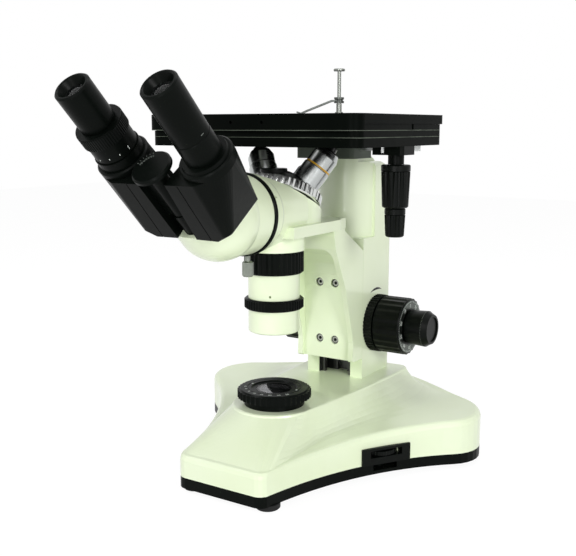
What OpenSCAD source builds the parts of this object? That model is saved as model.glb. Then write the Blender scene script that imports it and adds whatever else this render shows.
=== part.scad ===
// Inverted metallurgical microscope: the stage looks down on a quadruple nosepiece, light comes
// up from the base, and the binocular head is inclined towards the user.
// Origin: on the optical axis, at the table. +Z up, -Y towards the user, +X to the user's right.

/* [Base] */
// Distance from the optical axis to the front edge of the base
base_front = 80; // [76:1:90]
// Half length of the straight front edge
front_half = 34; // [28:1:38]
// Radius of the two front corners
corner_r = 9; // [5:0.5:12]
// Sideways distance from the axis to the centre of a rear lobe
lobe_x = 109; // [95:1:120]
// Distance behind the axis of the lobe centre
lobe_y = 111; // [100:1:120]
// Radius of a rear lobe
lobe_r = 32; // [26:1:36]
// Distance from the optical axis to the rear edge of the base
base_rear = 191.47; // [186:0.01:198]
// Height of the rubber feet
foot_h = 4.8; // [3:0.2:8]
// Radius of a rubber foot
foot_r = 10; // [7:0.5:14]
// Thickness of the black bottom plate
plate_h = 9.2; // [6:0.2:12]
// Height of the cover's edge at the front
front_edge_z = 33; // [28:0.5:38]
// Height of the cover's edge at the rear
rear_edge_z = 50; // [42:0.5:54]
// Rounding of the cover's upper edge
edge_r = 5; // [3:0.5:8]
// Height of the raised plateau that carries the column
plateau_z = 61.5; // [58:0.5:70]
// Radius of the plateau in front of the axis
plateau_r = 36; // [34:0.5:40]
// Half width of the plateau at its rear corner
plateau_half = 48; // [44:0.5:52]

/* [Column] */
// Half width of the column and of the focus bracket
column_half = 29.3; // [27:0.1:34]
// Front face of the column's lower part
column_front = 103.4; // [100:0.2:108]
// Rear face of the column
column_rear = 162; // [156:1:166]
// Height of the seam where the rounded post begins
seam_z = 193; // [190:0.5:200]
// Height of the shoulder at the top of the post
shoulder_z = 262; // [258:0.5:264]
// Half width of the slideway slot
slot_half = 17; // [15:0.5:19]
// Depth of the slideway slot behind the front face
slot_depth = 16; // [14:0.5:18]
// Corner rounding at the rear of the column
column_corner_r = 7; // [3:0.5:10]

/* [Focus drive] */
// Distance of the focus shaft behind the optical axis
shaft_y = 130.5; // [129:0.1:132]
// Height of the focus shaft
shaft_z = 110.5; // [106:0.5:114]
// Radius of the tension ring
tension_r = 27; // [24:0.5:28]
// Width of the tension ring
tension_w = 8; // [6:0.5:10]
// Radius of the coarse knob
coarse_r = 26.5; // [22:0.5:28]
// Width of the coarse knob
coarse_w = 26.5; // [20:0.5:30]
// Radius of the fine knob
fine_r = 16.5; // [13:0.5:18]
// Width of the fine knob
fine_w = 22.5; // [16:0.5:26]
// Pitch radius of the focus pinion
pinion_r = 6; // [5:0.5:7]
// Radius of the hollow pinion shaft
pinion_shaft_r = 5; // [4.5:0.1:6]
// Radius of the fine focus shaft inside it
fine_shaft_r = 2.5; // [2:0.1:3]

/* [Focus bracket] */
// Front face of the bracket's panel
panel_y = 89; // [87:0.2:92]
// Front face of the bracket's lower ribs
rib_front = 85; // [82:0.2:87]
// Lower end of the bracket
bracket_z = 81; // [80:0.5:84]
// Thickness of the side ribs
rib_t = 5; // [4:0.2:7]
// Top of the shelf that carries the microscope body
shelf_z = 215; // [213:0.2:217]
// Thickness of that shelf
shelf_t = 9; // [7:0.2:11]
// Half width of that shelf
shelf_r = 33; // [31:0.5:35]
// Sideways distance of the four bracket screws
screw_dx = 8; // [6:0.5:10]
// Head radius of the bracket screws
screw_head_r = 3.6; // [3:0.1:4.2]

/* [Body and illuminator] */
// Radius of the upright body drum under the nosepiece
drum_r = 29; // [27:0.5:31]
// Distance of that drum behind the optical axis
drum_y = 20; // [17:0.5:22]
// Radius of the horizontal collar towards the head
collar_r = 31.5; // [29:0.5:34]
// Height of the collar's axis
collar_z = 226; // [224:0.5:228]
// Distance of the collar's front face in front of the optical axis
collar_front = 42.5; // [40:0.5:47]
// Radius of the drum above the aperture ring
lower_drum_r = 25.5; // [24.9:0.1:27]
// Radius of the illuminator tube
tube_r = 21.5; // [19:0.5:23]
// Lower end of the illuminator tube
tube_z = 125; // [118:0.5:130]
// Radius of the two knurled illuminator rings
ring_r = 24.8; // [23.5:0.1:25.4]
// Bottom of the upper ring
aperture_z = 174.5; // [170:0.5:178]
// Height of the upper ring
aperture_h = 18.5; // [14:0.5:20]
// Bottom of the lower ring
filter_z = 144.5; // [140:0.5:148]
// Height of the lower ring
filter_h = 9; // [7:0.5:12]
// Radius of the light path through the instrument
light_r = 11; // [9:0.5:12]

/* [Nosepiece] */
// Tilt of the nosepiece axis
turret_tilt = 27; // [24:0.5:29]
// Radius at which the objectives sit on the nosepiece
seat_r = 20; // [19:0.5:22]
// Height of the objective seat on the optical axis
seat_z = 256.8; // [255:0.2:258]
// Radius of the knurled nosepiece ring
turret_r = 33; // [32:0.5:35]
// Height of the knurled nosepiece ring
turret_h = 8; // [6:0.5:9]
// Radius of the objective barrels
objective_r = 12; // [10.5:0.5:12.5]
// Length of the longest objective beyond its seat
objective_l = 37; // [32:0.5:37]
// Radius of the dust cap on the empty seat
cap_r = 11.2; // [10.5:0.1:12]

/* [Binocular head] */
// Inclination of the eyepieces
head_tilt = 45; // [45:1:45]
// Half distance between the eyepieces
eye_half = 37; // [35:0.5:37.5]
// Distance from the hinge axis back to the eyepiece axes
eye_back = 13.5; // [12:0.5:15]
// Radius of the elbow that carries the head
elbow_r = 33; // [31:0.5:35]
// Distance of the elbow centre in front of the optical axis
elbow_y = 76; // [74:0.5:80]
// Length of the neck from the elbow centre to the prism boxes
neck_l = 16.5; // [15:0.5:19]
// Length of a prism box
box_l = 56; // [50:1:60]
// Radius of the prism box's upper collar
eye_collar_r = 20; // [18.5:0.5:21]
// Outer radius of the eyepiece tubes
eye_tube_r = 13.4; // [13:0.1:15]
// Radius of the eyepieces
eyepiece_r = 13.2; // [12.5:0.1:13.8]
// Length of the right tube above its collar
right_tube_l = 20; // [15:0.5:26]
// Length of the right eyepiece outside its tube
right_eyepiece_l = 44; // [38:0.5:50]
// Radius of the dioptre ring
dioptre_r = 18; // [16:0.5:19]
// Length of the dioptre ring
dioptre_l = 24; // [18:0.5:28]
// Length of the left eyepiece outside the dioptre ring
left_eyepiece_l = 33; // [28:0.5:38]
// Standard bore radius for the eyepieces
eye_bore_r = 11.6; // [11.6:0.1:11.6]

/* [Stage] */
// Half width of the stage
stage_half = 99; // [92:1:106]
// Distance from the axis to the stage's front edge
stage_front = 41; // [38:0.5:46]
// Distance from the axis to the stage's rear edge
stage_rear = 119; // [116:0.5:124]
// Height of the stage surface
stage_z = 303; // [301:0.2:305]
// Underside of the lower plate
lower_z = 278; // [277:0.2:280]
// Top of the lower plate's visible front edge
split_z = 290; // [288.5:0.2:291]
// Thickness of the upper plate over the lower one
upper_t = 7.6; // [6:0.2:8]
// Corner radius of the stage plates
stage_corner_r = 10; // [4:0.5:12]
// Travel of the stage each way
stage_travel = 7.5; // [5:0.5:8]
// Radius of the stage insert
insert_r = 35; // [32:0.5:36]
// Thickness of the stage insert
insert_t = 3; // [2:0.2:3.6]
// Radius of the specimen hole in the insert
specimen_r = 10; // [6:0.5:12]
// Sideways distance of the coaxial stage knobs
knob_x = 87; // [84:0.5:90]
// Distance of the stage knobs behind the axis
knob_y = 47; // [42:0.5:52]
// Radius of the upper stage knob
upper_knob_r = 11.9; // [10:0.1:14]
// Length of the upper stage knob
upper_knob_l = 34.6; // [30:0.2:40]
// Radius of the lower stage knob
lower_knob_r = 8.5; // [7:0.1:9]
// Length of the lower stage knob
lower_knob_l = 23.5; // [16:0.5:26]
// Sideways place of the specimen clip post
post_x = 43.5; // [42:0.5:50]
// Place of the clip post behind the axis
post_y = 30; // [24:0.5:36]
// Radius of the clip post
post_r = 1.5; // [1.2:0.1:2]
// Height of the clip post above the stage
post_h = 36; // [30:0.5:42]

/* [Base fittings] */
// Radius of the knurled field ring
field_r = 31.4; // [30:0.2:33]
// Top of the field ring
field_z = 75.5; // [73:0.5:78]
// Radius of the neck under the field ring
neck_r = 25.7; // [24:0.2:27]
// Length of the side bezel
bezel_l = 46; // [40:1:50]
// Top of the side bezel
bezel_z = 28.5; // [26:0.5:31]
// Radius of the brightness thumbwheel
wheel_r = 14; // [12:0.5:16]
// Thickness of the brightness thumbwheel
wheel_t = 3.4; // [3:0.2:5]

/* [Fits] */
// Radial clearance of a running fit
run = 0.05; // [0.02:0.01:0.09]
// Clearance between parts that move past each other
gap = 0.3; // [0.25:0.05:0.5]

/* [Hidden] */
$fn = 64;
tiny = 0.01;
cover_z = foot_h + plate_h;
cream = [0.90, 0.94, 0.84];
black = [0.09, 0.10, 0.10];
dark_grey = [0.24, 0.26, 0.26];
steel = [0.72, 0.73, 0.74];
brass = [0.80, 0.66, 0.34];
glass_blue = [0.70, 0.84, 0.92];

// General shapes

function lerp(a, b, t) = a + (b - a) * t;
function bez(a, b, c, d, t) =
  pow(1 - t, 3) * a + 3 * pow(1 - t, 2) * t * b + 3 * (1 - t) * t * t * c + t * t * t * d;
function polar(r, a) = [r * cos(a), r * sin(a)];

// Points of a fluted outline: shallow scallops all round
function fluted(r, n, depth, steps = 4) =
  [for (i = [0:n * steps - 1]) polar(r - depth * pow(abs(cos(180 * i / steps)), 1.5), 360 * i / (n * steps))];

// Rounded rectangle from x0,y0 to x1,y1 made of true arcs
module rounded_slab(x0, y0, x1, y1, r, h) {
  linear_extrude(h) {
    translate([x0 + r, y0]) square([x1 - x0 - 2 * r, y1 - y0]);
    translate([x0, y0 + r]) square([x1 - x0, y1 - y0 - 2 * r]);
    for (x = [x0 + r, x1 - r]) for (y = [y0 + r, y1 - r]) translate([x, y]) circle(r);
  }
}

// A tube with a fluted outside
module fluted_ring(r, n, depth, h, bore) {
  difference() {
    linear_extrude(h) polygon(fluted(r, n, depth));
    translate([0, 0, -1]) cylinder(r = bore, h = h + 2);
  }
}

// Turned part: profile of [radius, height] points round the Z axis
module turned(profile) {
  rotate_extrude() polygon(profile);
}

// Places children on the optical frames
module along_x(x, y, z) { translate([x, y, z]) rotate([0, 90, 0]) children(); }
module turret_frame() {
  translate([0, seat_r * cos(turret_tilt), seat_z - seat_r * sin(turret_tilt)]) rotate([-turret_tilt, 0, 0]) children();
}
module seat_frame(angle) {
  turret_frame() rotate([0, 0, angle]) translate([0, -seat_r, 0]) rotate([turret_tilt, 0, 0]) children();
}
// Head frame: z along the eyepieces from the joint plane, y backwards, origin on the neck axis
module head_frame() {
  translate([0, -elbow_y, collar_z]) rotate([head_tilt, 0, 0]) translate([0, 0, neck_l]) children();
}

// Base

waist_front = [front_half + corner_r, -base_front + corner_r];
lobe_a0 = -50;
lobe_a1 = 70;
waist_rear = [lobe_x, lobe_y] + polar(lobe_r, lobe_a0);
waist_pull_front = [15, 73];
waist_pull_rear = [38, 33];
plateau_rear = column_rear + 6;
plateau_corner_r = 8;
plateau_edge_r = 2;
wing_power = 5;
arc_end = -25;

// Half width of the plateau at a distance y behind the axis
function plateau_w(y) =
  y < 0 ? sqrt(plateau_r * plateau_r - y * y)
        : plateau_r + (plateau_half - plateau_r) * sin(90 * min(1, y / (plateau_rear - plateau_corner_r)));
function waist(t) = bez(waist_front, waist_front + waist_pull_front, waist_rear - waist_pull_rear, waist_rear, t);
function edge_z(y) = lerp(front_edge_z, rear_edge_z, (y + base_front) / (base_front + base_rear));

// Half outline from the front centre to the rear centre: [foot point, plateau point, steepness]
lobe_end = [lobe_x, lobe_y] + polar(lobe_r, lobe_a1);
plateau_corner = [plateau_half - plateau_corner_r, plateau_rear - plateau_corner_r];
half_outline = concat(
  [for (i = [0:3]) [[front_half * i / 4, -base_front], polar(plateau_r, -90 + 7 * i), 1]],
  [for (i = [0:3]) [[front_half, -base_front + corner_r] + polar(corner_r, -90 + 22.5 * i),
                    polar(plateau_r, -62 + 9 * i), 1]],
  [for (i = [0:13]) let (t = i / 14, y = lerp(plateau_r * sin(arc_end), lobe_y - 15, t))
    [waist(t), [plateau_w(y), y], lerp(1, wing_power, min(1, 4 * t))]],
  [for (i = [0:9]) let (t = i / 10, y = lerp(lobe_y - 15, plateau_corner[1], t))
    [[lobe_x, lobe_y] + polar(lobe_r, lerp(lobe_a0, lobe_a1, t)), [plateau_w(y), y], wing_power]],
  [for (i = [0:6]) let (t = i / 6)
    [bez(lobe_end, lobe_end + polar(30, lobe_a1 + 90), [50, base_rear], [0, base_rear], t),
     t < 0.5 ? plateau_corner + polar(plateau_corner_r, 180 * t)
             : [plateau_corner[0] * (2 - 2 * t), plateau_rear], wing_power]]);
last = len(half_outline) - 1;
outline = concat(half_outline,
  [for (i = [last - 1:-1:1]) [[-half_outline[i][0][0], half_outline[i][0][1]],
                              [-half_outline[i][1][0], half_outline[i][1][1]], half_outline[i][2]]]);
outline_n = len(outline);

// Shares of the way up the flank at which the moulded cover has a level
rise = [0.15, 0.3, 0.44, 0.57, 0.69, 0.79, 0.87, 0.94, 1];

// One level of the moulded cover: a point for each outline entry, level by level
function cover_point(e, k) =
  let (u = (e[1] - e[0]) / norm(e[1] - e[0]), ze = edge_z(e[0][1]), foot = e[0] + u * edge_r)
  k == 0 ? [e[0][0], e[0][1], cover_z] :
  k <= 4 ? let (a = 30 * (k - 1), p = e[0] + u * edge_r * (1 - cos(a)))
    [p[0], p[1], ze - edge_r * (1 - sin(a))] :
  k <= 4 + len(rise) ? let (s = rise[k - 5], p = lerp(foot, e[1], s))
    [p[0], p[1], lerp(ze, plateau_z - plateau_edge_r, pow(s, e[2]))] :
  let (a = 45 * (k - 4 - len(rise)), p = e[1] + u * plateau_edge_r * (1 - cos(a)))
    [p[0], p[1], plateau_z - plateau_edge_r * (1 - sin(a))];

module cover_shape() {
  levels = 6 + len(rise);
  points = [for (k = [0:levels]) for (e = outline) cover_point(e, k)];
  function at(k, i) = k * outline_n + i % outline_n;
  walls = [for (k = [0:levels - 1]) for (i = [0:outline_n - 1]) each
    [[at(k, i), at(k + 1, i), at(k + 1, i + 1)], [at(k, i), at(k + 1, i + 1), at(k, i + 1)]]];
  caps = [[for (i = [0:outline_n - 1]) at(0, i)], [for (i = [outline_n - 1:-1:0]) at(levels, i)]];
  polyhedron(points, concat(walls, caps));
}

// Hollow under the plateau, shared by the cover and the bottom plate
bay_half = 33;
bay_front = -24;
bay_rear = 152;
tray_t = 3;
tray_z = foot_h + tray_t;
bay_z = plateau_z - 7;
module electrics_bay() {
  translate([-bay_half, 0, tray_z]) cube([2 * bay_half, bay_rear, bay_z - tray_z]);
  translate([0, 0, tray_z]) cylinder(r = -bay_front, h = bay_z - tray_z);
}

// Frame of the side bezel, set on the waist: x along the wall, y outwards
bezel_t = 0.6;
bezel_at = waist(bezel_t);
bezel_dir = waist(bezel_t + 0.02) - waist(bezel_t - 0.02);
bezel_depth = 7;
bezel_proud = 2.6;
module bezel_frame() {
  translate([bezel_at[0], bezel_at[1], 0]) rotate([0, 0, atan2(bezel_dir[1], bezel_dir[0])]) rotate([180, 0, 0])
    mirror([0, 0, 1]) children();
}
window_l = 30;
window_z0 = 20;
window_z1 = 26.2;
wheel_z = 21.2;
wheel_poke = 1.2;
wheel_in = bezel_proud - wheel_r + wheel_poke;
hub_h = 3;
wheel_bore = 1.5;
module bezel_block(grow = 0) {
  translate([-bezel_l / 2 - grow, bezel_proud - bezel_depth - grow, cover_z - grow])
    cube([bezel_l + 2 * grow, bezel_depth + grow, bezel_z - cover_z + 2 * grow]);
}
module wheel_pocket() {
  translate([0, wheel_in, cover_z - 1]) cylinder(r = wheel_r + 1.5, h = bezel_z - cover_z + 1);
}

foot_places = [[36, -64], [-36, -64], [lobe_x, lobe_y], [-lobe_x, lobe_y]];

module feet() {
  color(black) for (p = foot_places) translate([p[0], p[1], 0])
    turned([[0, 0], [foot_r - 1, 0], [foot_r, 1], [foot_r, foot_h], [0, foot_h]]);
}

module bottom_plate() {
  color(black) difference() {
    translate([0, 0, foot_h]) linear_extrude(plate_h) polygon([for (e = outline) e[0]]);
    electrics_bay();
    bezel_frame() translate([0, wheel_in, tray_z]) cylinder(r = wheel_r + 1.5, h = plate_h);
    for (i = [0:4]) translate([-15, 31 + 6 * i, foot_h - 1]) cube([30, 2.4, tray_t + 2]);
  }
  color(black) bezel_frame() translate([0, wheel_in, tray_z - tiny]) {
    cylinder(r = 3, h = wheel_z - hub_h - gap - tray_z);
    cylinder(r = wheel_bore - run, h = wheel_z + wheel_t - tray_z);
  }
}

panel_rear = base_rear - 5;
module_w = 48;
module_h = 27;
module_z = 17;
module_depth = 22;
module base_cover() {
  color(cream) difference() {
    cover_shape();
    electrics_bay();
    bezel_frame() bezel_block(0.15);
    bezel_frame() wheel_pocket();
    translate([0, 0, cover_z]) cylinder(r = neck_tube_r + run, h = plateau_z);
    translate([-module_w / 2 - 3, panel_rear, module_z - 3]) cube([module_w + 6, 20, module_h + 5]);
    translate([-module_w / 2 + 2 - 0.15, bay_rear - 1, module_z + 2 - 0.15])
      cube([module_w - 4 + 0.3, panel_rear - bay_rear + 2, module_h - 4 + 0.3]);
  }
}

module side_bezel() {
  color(black) bezel_frame() difference() {
    bezel_block();
    translate([-window_l / 2, bezel_proud - bezel_depth - 1, window_z0])
      cube([window_l, bezel_depth + 2, window_z1 - window_z0]);
  }
}

module dimmer_wheel() {
  color(black) bezel_frame() translate([0, wheel_in, wheel_z]) {
    fluted_ring(wheel_r, 36, 0.5, wheel_t, wheel_bore);
    translate([0, 0, -hub_h]) turned([[wheel_bore, 0], [3, 0], [3, hub_h + tiny], [wheel_bore, hub_h + tiny]]);
  }
}

// Lamp, lens and electrics under the plateau
neck_tube_r = 20;
lamp_z = 24;
module lamp_socket() {
  color([0.92, 0.91, 0.87]) translate([0, 0, tray_z]) difference() {
    union() {
      translate([-12, -9, 0]) cube([24, 18, 3]);
      translate([-7, -6, 3]) cube([14, 12, lamp_z - tray_z - 3]);
    }
    for (x = [-3.2, 3.2]) translate([x, 0, 4]) cylinder(r = 0.7, h = 20);
    for (x = [-9.5, 9.5]) translate([x, 0, -1]) cylinder(r = 1.6, h = 6);
  }
}

module lamp_bulb() {
  color([0.95, 0.93, 0.82]) translate([0, 0, lamp_z]) {
    turned([[0, 0.2], [4.6, 0.2], [5, 1], [5, 10], [4.2, 12.2], [2.2, 13.6], [0, 14]]);
    for (x = [-3.2, 3.2]) translate([x, 0, -8]) cylinder(r = 0.55, h = 8.3);
  }
}

lens_z = 45;
module collector_lens() {
  color(glass_blue) translate([0, 0, lens_z]) rotate_extrude() intersection() {
    translate([0, -18]) circle(24);
    square([lens_r, 8]);
  }
}

lens_r = 15;
spigot_r = 17;
spigot_h = 3.2;
neck_top = field_z - 8;
glass_z = neck_top + gap + spigot_h + 2;
module lens_mount() {
  color(black) turned([[13.5, lens_z - 3], [neck_tube_r, lens_z - 3], [neck_tube_r, plateau_z],
    [neck_r, plateau_z], [neck_r, neck_top - 1], [neck_r - 1, neck_top], [spigot_r, neck_top],
    [spigot_r, neck_top + spigot_h], [12, neck_top + spigot_h], [12, lens_z + 7],
    [lens_r + run, lens_z + 7], [lens_r + run, lens_z], [13.5, lens_z]]);
}

module field_ring() {
  h = field_z - neck_top - gap;
  color(black) translate([0, 0, neck_top + gap]) difference() {
    union() {
      linear_extrude(h - 1.2) polygon(fluted(field_r, 40, 1.1));
      turned([[0, 0], [field_r - 1.4, 0], [field_r - 1.4, h - 2.2], [field_r - 2.8, h], [23.3, h],
        [23, h - 0.4], [22.6, h - 0.4], [22.3, h], [19.6, h], [18.8, h - 1.2], [0, h - 1.2]]);
    }
    translate([0, 0, -1]) cylinder(r = spigot_r + run, h = spigot_h + 1);
    translate([0, 0, -1]) cylinder(r = 12.5, h = 20);
    translate([0, 0, glass_z - neck_top - gap]) cylinder(r = lens_r, h = 20);
  }
}

module field_glass() {
  color(glass_blue) translate([0, 0, glass_z]) cylinder(r = lens_r - run, h = 1.2);
}

module transformer() {
  color([0.35, 0.36, 0.38]) translate([-22, 62, tray_z]) {
    difference() {
      cube([44, 36, 34]);
      translate([-1, 7, 6]) cube([46, 5, 22]);
      translate([-1, 24, 6]) cube([46, 5, 22]);
    }
    for (x = [-6, 44]) translate([x, 8, 0]) difference() {
      cube([6, 20, 2]);
      translate([3, 10, -1]) cylinder(r = 1.7, h = 4);
    }
  }
}

module control_board() {
  color([0.10, 0.35, 0.18]) translate([-26, 108, tray_z + 5]) difference() {
    union() {
      cube([52, 36, 1.6]);
      translate([8, 8, 1.6]) cube([14, 10, 12]);
      translate([30, 20, 1.6]) cylinder(r = 6, h = 16);
      for (x = [3.5, 48.5]) for (y = [3.5, 32.5]) translate([x, y, -5]) cylinder(r = 2.5, h = 5);
    }
    for (x = [3.5, 48.5]) for (y = [3.5, 32.5]) translate([x, y, -6]) cylinder(r = 1.3, h = 9);
  }
}

// Mains inlet and rocker switch in one housing on the rear
inlet_x = -6;
inlet_w = 24.4;
inlet_h = 16.4;
inlet_depth = 18;
rocker_x = 15;
rocker_w = 11;
rocker_h = 19;
module power_inlet() {
  mid_z = module_z + module_h / 2;
  color(black) translate([0, panel_rear, 0]) difference() {
    union() {
      translate([-module_w / 2, 0, module_z]) cube([module_w, 2.2, module_h]);
      translate([-module_w / 2 + 2, -module_depth, module_z + 2]) cube([module_w - 4, module_depth + tiny, module_h - 4]);
    }
    translate([inlet_x - inlet_w / 2, 2.2 - inlet_depth, mid_z - inlet_h / 2]) cube([inlet_w, inlet_depth + 1, inlet_h]);
    translate([rocker_x - rocker_w / 2, 2.2 - 12, mid_z - rocker_h / 2]) cube([rocker_w, 13, rocker_h]);
  }
  color(brass) for (p = [[-7, 2.5], [7, 2.5], [0, -2]])
    translate([inlet_x + p[0] - 1, panel_rear + 2.2 - inlet_depth - tiny, mid_z + p[1] - 2]) cube([2, 12, 4]);
}

module power_rocker() {
  mid_z = module_z + module_h / 2;
  half = rocker_h / 2 - 0.8;
  color(black) translate([rocker_x - rocker_w / 2 + gap, panel_rear - 2.2, mid_z]) rotate([90, 0, 90])
    linear_extrude(rocker_w - 2 * gap)
      polygon([[2.6, -half + 0.6], [5.6, -half + 1.6], [4.4, 0], [3.4, half - 0.8], [-2, half - 2.4], [-5, 0], [-2, -half + 2.4]]);
}

// Column

post_y0 = 125.3;
post_front_r = 26.8;
slot_z0 = plateau_z - tiny;
slot_z1 = 180;
rail_in = 4;
rail_y0 = 4.6;
rail_y1 = 8.6;
rack_half = 5;
rack_back = shaft_y - pinion_r - gap;
pocket_half = 7;
boss_r = 8;
boss_x = column_half + tension_w + gap + 0.2;
neck_half = 20;
stage_pad_z = lower_z - gap;
pad_bottom = stage_pad_z - 12.2;
pad_front = 80;
pad_rear = stage_rear;
module column() {
  color(cream) difference() {
    union() {
      translate([-column_half, column_front, plateau_z]) cube([2 * column_half, 30, seam_z - plateau_z]);
      post_slab(plateau_z, seam_z);
      intersection() {
        union() {
          post_slab(seam_z - tiny, 290);
          translate([0, post_y0, seam_z - tiny]) cylinder(r = post_front_r, h = 90, $fn = 96);
        }
        rotate([90, 0, 90]) translate([0, 0, -column_half - 1]) linear_extrude(2 * column_half + 2)
          polygon([[90, seam_z - 1], [column_rear + 1, seam_z - 1], [column_rear + 1, 247.3], [145.8, 258.9], [138, 264.4],
            [126.7, 269.2], [pad_rear + 1, 273.6], [pad_rear, 274], [pad_rear, pad_bottom], [90, pad_bottom]]);
        translate([0, column_rear + 1, 0]) rotate([90, 0, 0]) linear_extrude(80) {
          translate([-column_half, seam_z - 1]) square([2 * column_half, shoulder_z - shoulder_r - seam_z + 1]);
          for (x = [-1, 1]) translate([x * (column_half - shoulder_r), shoulder_z - shoulder_r]) circle(shoulder_r);
          translate([-column_half + shoulder_r, seam_z]) square([2 * (column_half - shoulder_r), shoulder_z - seam_z]);
          translate([-neck_half, seam_z]) square([2 * neck_half, 100]);
        }
      }
      along_x(0, shaft_y, shaft_z) cylinder(r = boss_r, h = boss_x);
      along_x(-boss_x, shaft_y, shaft_z) cylinder(r = 20, h = boss_x);
    }
    difference() {
      translate([-slot_half, column_front - 1, slot_z0]) cube([2 * slot_half, slot_depth + 1, slot_z1 - slot_z0]);
      for (x = [-slot_half - 1, slot_half - rail_in]) translate([x, column_front + rail_y0, slot_z0 - 1])
        cube([rail_in + 1, rail_y1 - rail_y0, slot_z1 - slot_z0 + 2]);
    }
    translate([-rack_half - gap, column_front + slot_depth - 1, slot_z0])
      cube([2 * (rack_half + gap), rack_back - column_front - slot_depth + 1 + gap, 98]);
    translate([-pocket_half, column_front + slot_depth + 2, shaft_z - pinion_r - 1.5])
      cube([2 * pocket_half, shaft_y + pinion_r + 1.5 - column_front - slot_depth - 2, 2 * pinion_r + 3]);
    along_x(-50, shaft_y, shaft_z) cylinder(r = pinion_shaft_r + run, h = 100);
  }
}
shoulder_r = 6;
module post_slab(z0, z1) {
  translate([0, 0, z0]) rounded_slab(-column_half, post_y0, column_half, column_rear, column_corner_r, z1 - z0);
  translate([-column_half, post_y0, z0]) cube([2 * column_half, 20, z1 - z0]);
}

guide_in = 9;
guide_out = 12;
guide_z = 280;
guide_top = 283;
module stage_base() {
  color(dark_grey) {
    difference() {
      translate([0, 0, pad_bottom]) rounded_slab(-29, pad_front, 29, pad_rear, 4, stage_pad_z - pad_bottom);
      translate([-neck_half - 0.2, pad_rear - 0.5, pad_bottom - 1]) cube([2 * neck_half + 0.4, 5, 20]);
    }
    translate([0, pad_rear - 1, 0]) rotate([90, 0, 0]) linear_extrude(pad_rear - pad_front - 2) {
      translate([-guide_in, stage_pad_z - 1]) square([2 * guide_in, guide_z - stage_pad_z + 1 + tiny]);
      translate([-guide_out, guide_z]) square([2 * guide_out, guide_top - guide_z]);
    }
  }
}

stage_pinion_r = 5;
bar_x1 = knob_x - stage_pinion_r - gap;
bar_w = 3.4;
bar_z0 = 272.6;
bar_z1 = lower_z - gap - 0.2;
bar_y0 = 37.5;
bar_y1 = 114;
module stage_rack() {
  color(steel) {
    translate([bar_x1 - bar_w, 95, bar_z0]) mirror([1, 0, 0]) cube([bar_x1 - bar_w - 29, 10, bar_z1 - bar_z0]);
    translate([0, 0, bar_z0]) linear_extrude(bar_z1 - bar_z0)
      polygon(concat([[bar_x1 - bar_w, bar_y0], [bar_x1 - bar_w, bar_y1]],
        [for (i = [22:-1:0]) each [[bar_x1 - 0.8, bar_y0 + 1.2 + 3 * i + 1.9], [bar_x1, bar_y0 + 1.2 + 3 * i + 1.4],
                                   [bar_x1, bar_y0 + 1.2 + 3 * i + 0.7], [bar_x1 - 0.8, bar_y0 + 1.2 + 3 * i + 0.2]]]));
  }
}

// Focus drive

module tension_ring() {
  color(black) along_x(column_half + gap, shaft_y, shaft_z)
    difference() {
      linear_extrude(tension_w) polygon(fluted(tension_r, 48, 0.8));
      translate([0, 0, -1]) cylinder(r = boss_r + run, h = tension_w + 2);
      translate([0, 0, tension_w - 1.2]) difference() {
        cylinder(r = 20, h = 2);
        translate([0, 0, -1]) cylinder(r = 15, h = 4);
      }
    }
}

coarse_x = boss_x + gap;
module coarse_knob() {
  difference() {
    union() {
      translate([0, 0, 1]) linear_extrude(coarse_w - 2) polygon(fluted(coarse_r, 24, 0.8, 6));
      turned([[0, 0], [coarse_r - 2, 0], [coarse_r - 1, 1], [coarse_r - 1, coarse_w - 1], [coarse_r - 2, coarse_w], [0, coarse_w]]);
    }
    translate([0, 0, -1]) cylinder(r = pinion_shaft_r + run, h = coarse_w + 2);
    translate([0, 0, coarse_w - 0.8]) difference() {
      cylinder(r = 21, h = 2);
      translate([0, 0, -1]) cylinder(r = 20, h = 4);
    }
  }
}

fine_x = coarse_x + coarse_w + gap;
module fine_knob() {
  difference() {
    turned([[0, 0], [fine_r - 2, 0], [fine_r - 0.8, 1.2], [fine_r, fine_w - 7], [fine_r, fine_w - 5],
      [fine_r - 0.6, fine_w - 4.4], [fine_r - 3, fine_w], [0, fine_w]]);
    translate([0, 0, -1]) cylinder(r = fine_shaft_r + run, h = fine_w - 4);
    translate([0, 0, fine_w - 1.2]) cylinder(r = fine_r - 5, h = 2);
  }
}

module coarse_knob_right() { color(black) along_x(coarse_x, shaft_y, shaft_z) coarse_knob(); }
module coarse_knob_left() { color(black) mirror([1, 0, 0]) along_x(coarse_x, shaft_y, shaft_z) coarse_knob(); }
module fine_knob_right() { color(black) along_x(fine_x, shaft_y, shaft_z) fine_knob(); }
module fine_knob_left() { color(black) mirror([1, 0, 0]) along_x(fine_x, shaft_y, shaft_z) fine_knob(); }

module pinion_shaft() {
  reach = coarse_x + coarse_w - 3;
  color(steel) difference() {
    union() {
      along_x(-reach, shaft_y, shaft_z) cylinder(r = pinion_shaft_r, h = 2 * reach);
      along_x(-6, shaft_y, shaft_z) linear_extrude(12) polygon(fluted(pinion_r, 14, 0.8));
    }
    along_x(-reach - 1, shaft_y, shaft_z) cylinder(r = fine_shaft_r + run, h = 2 * reach + 2);
  }
}

module fine_shaft() {
  reach = fine_x + fine_w - 6;
  color(steel) along_x(-reach, shaft_y, shaft_z) cylinder(r = fine_shaft_r, h = 2 * reach);
}

// Focusing carriage

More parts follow.
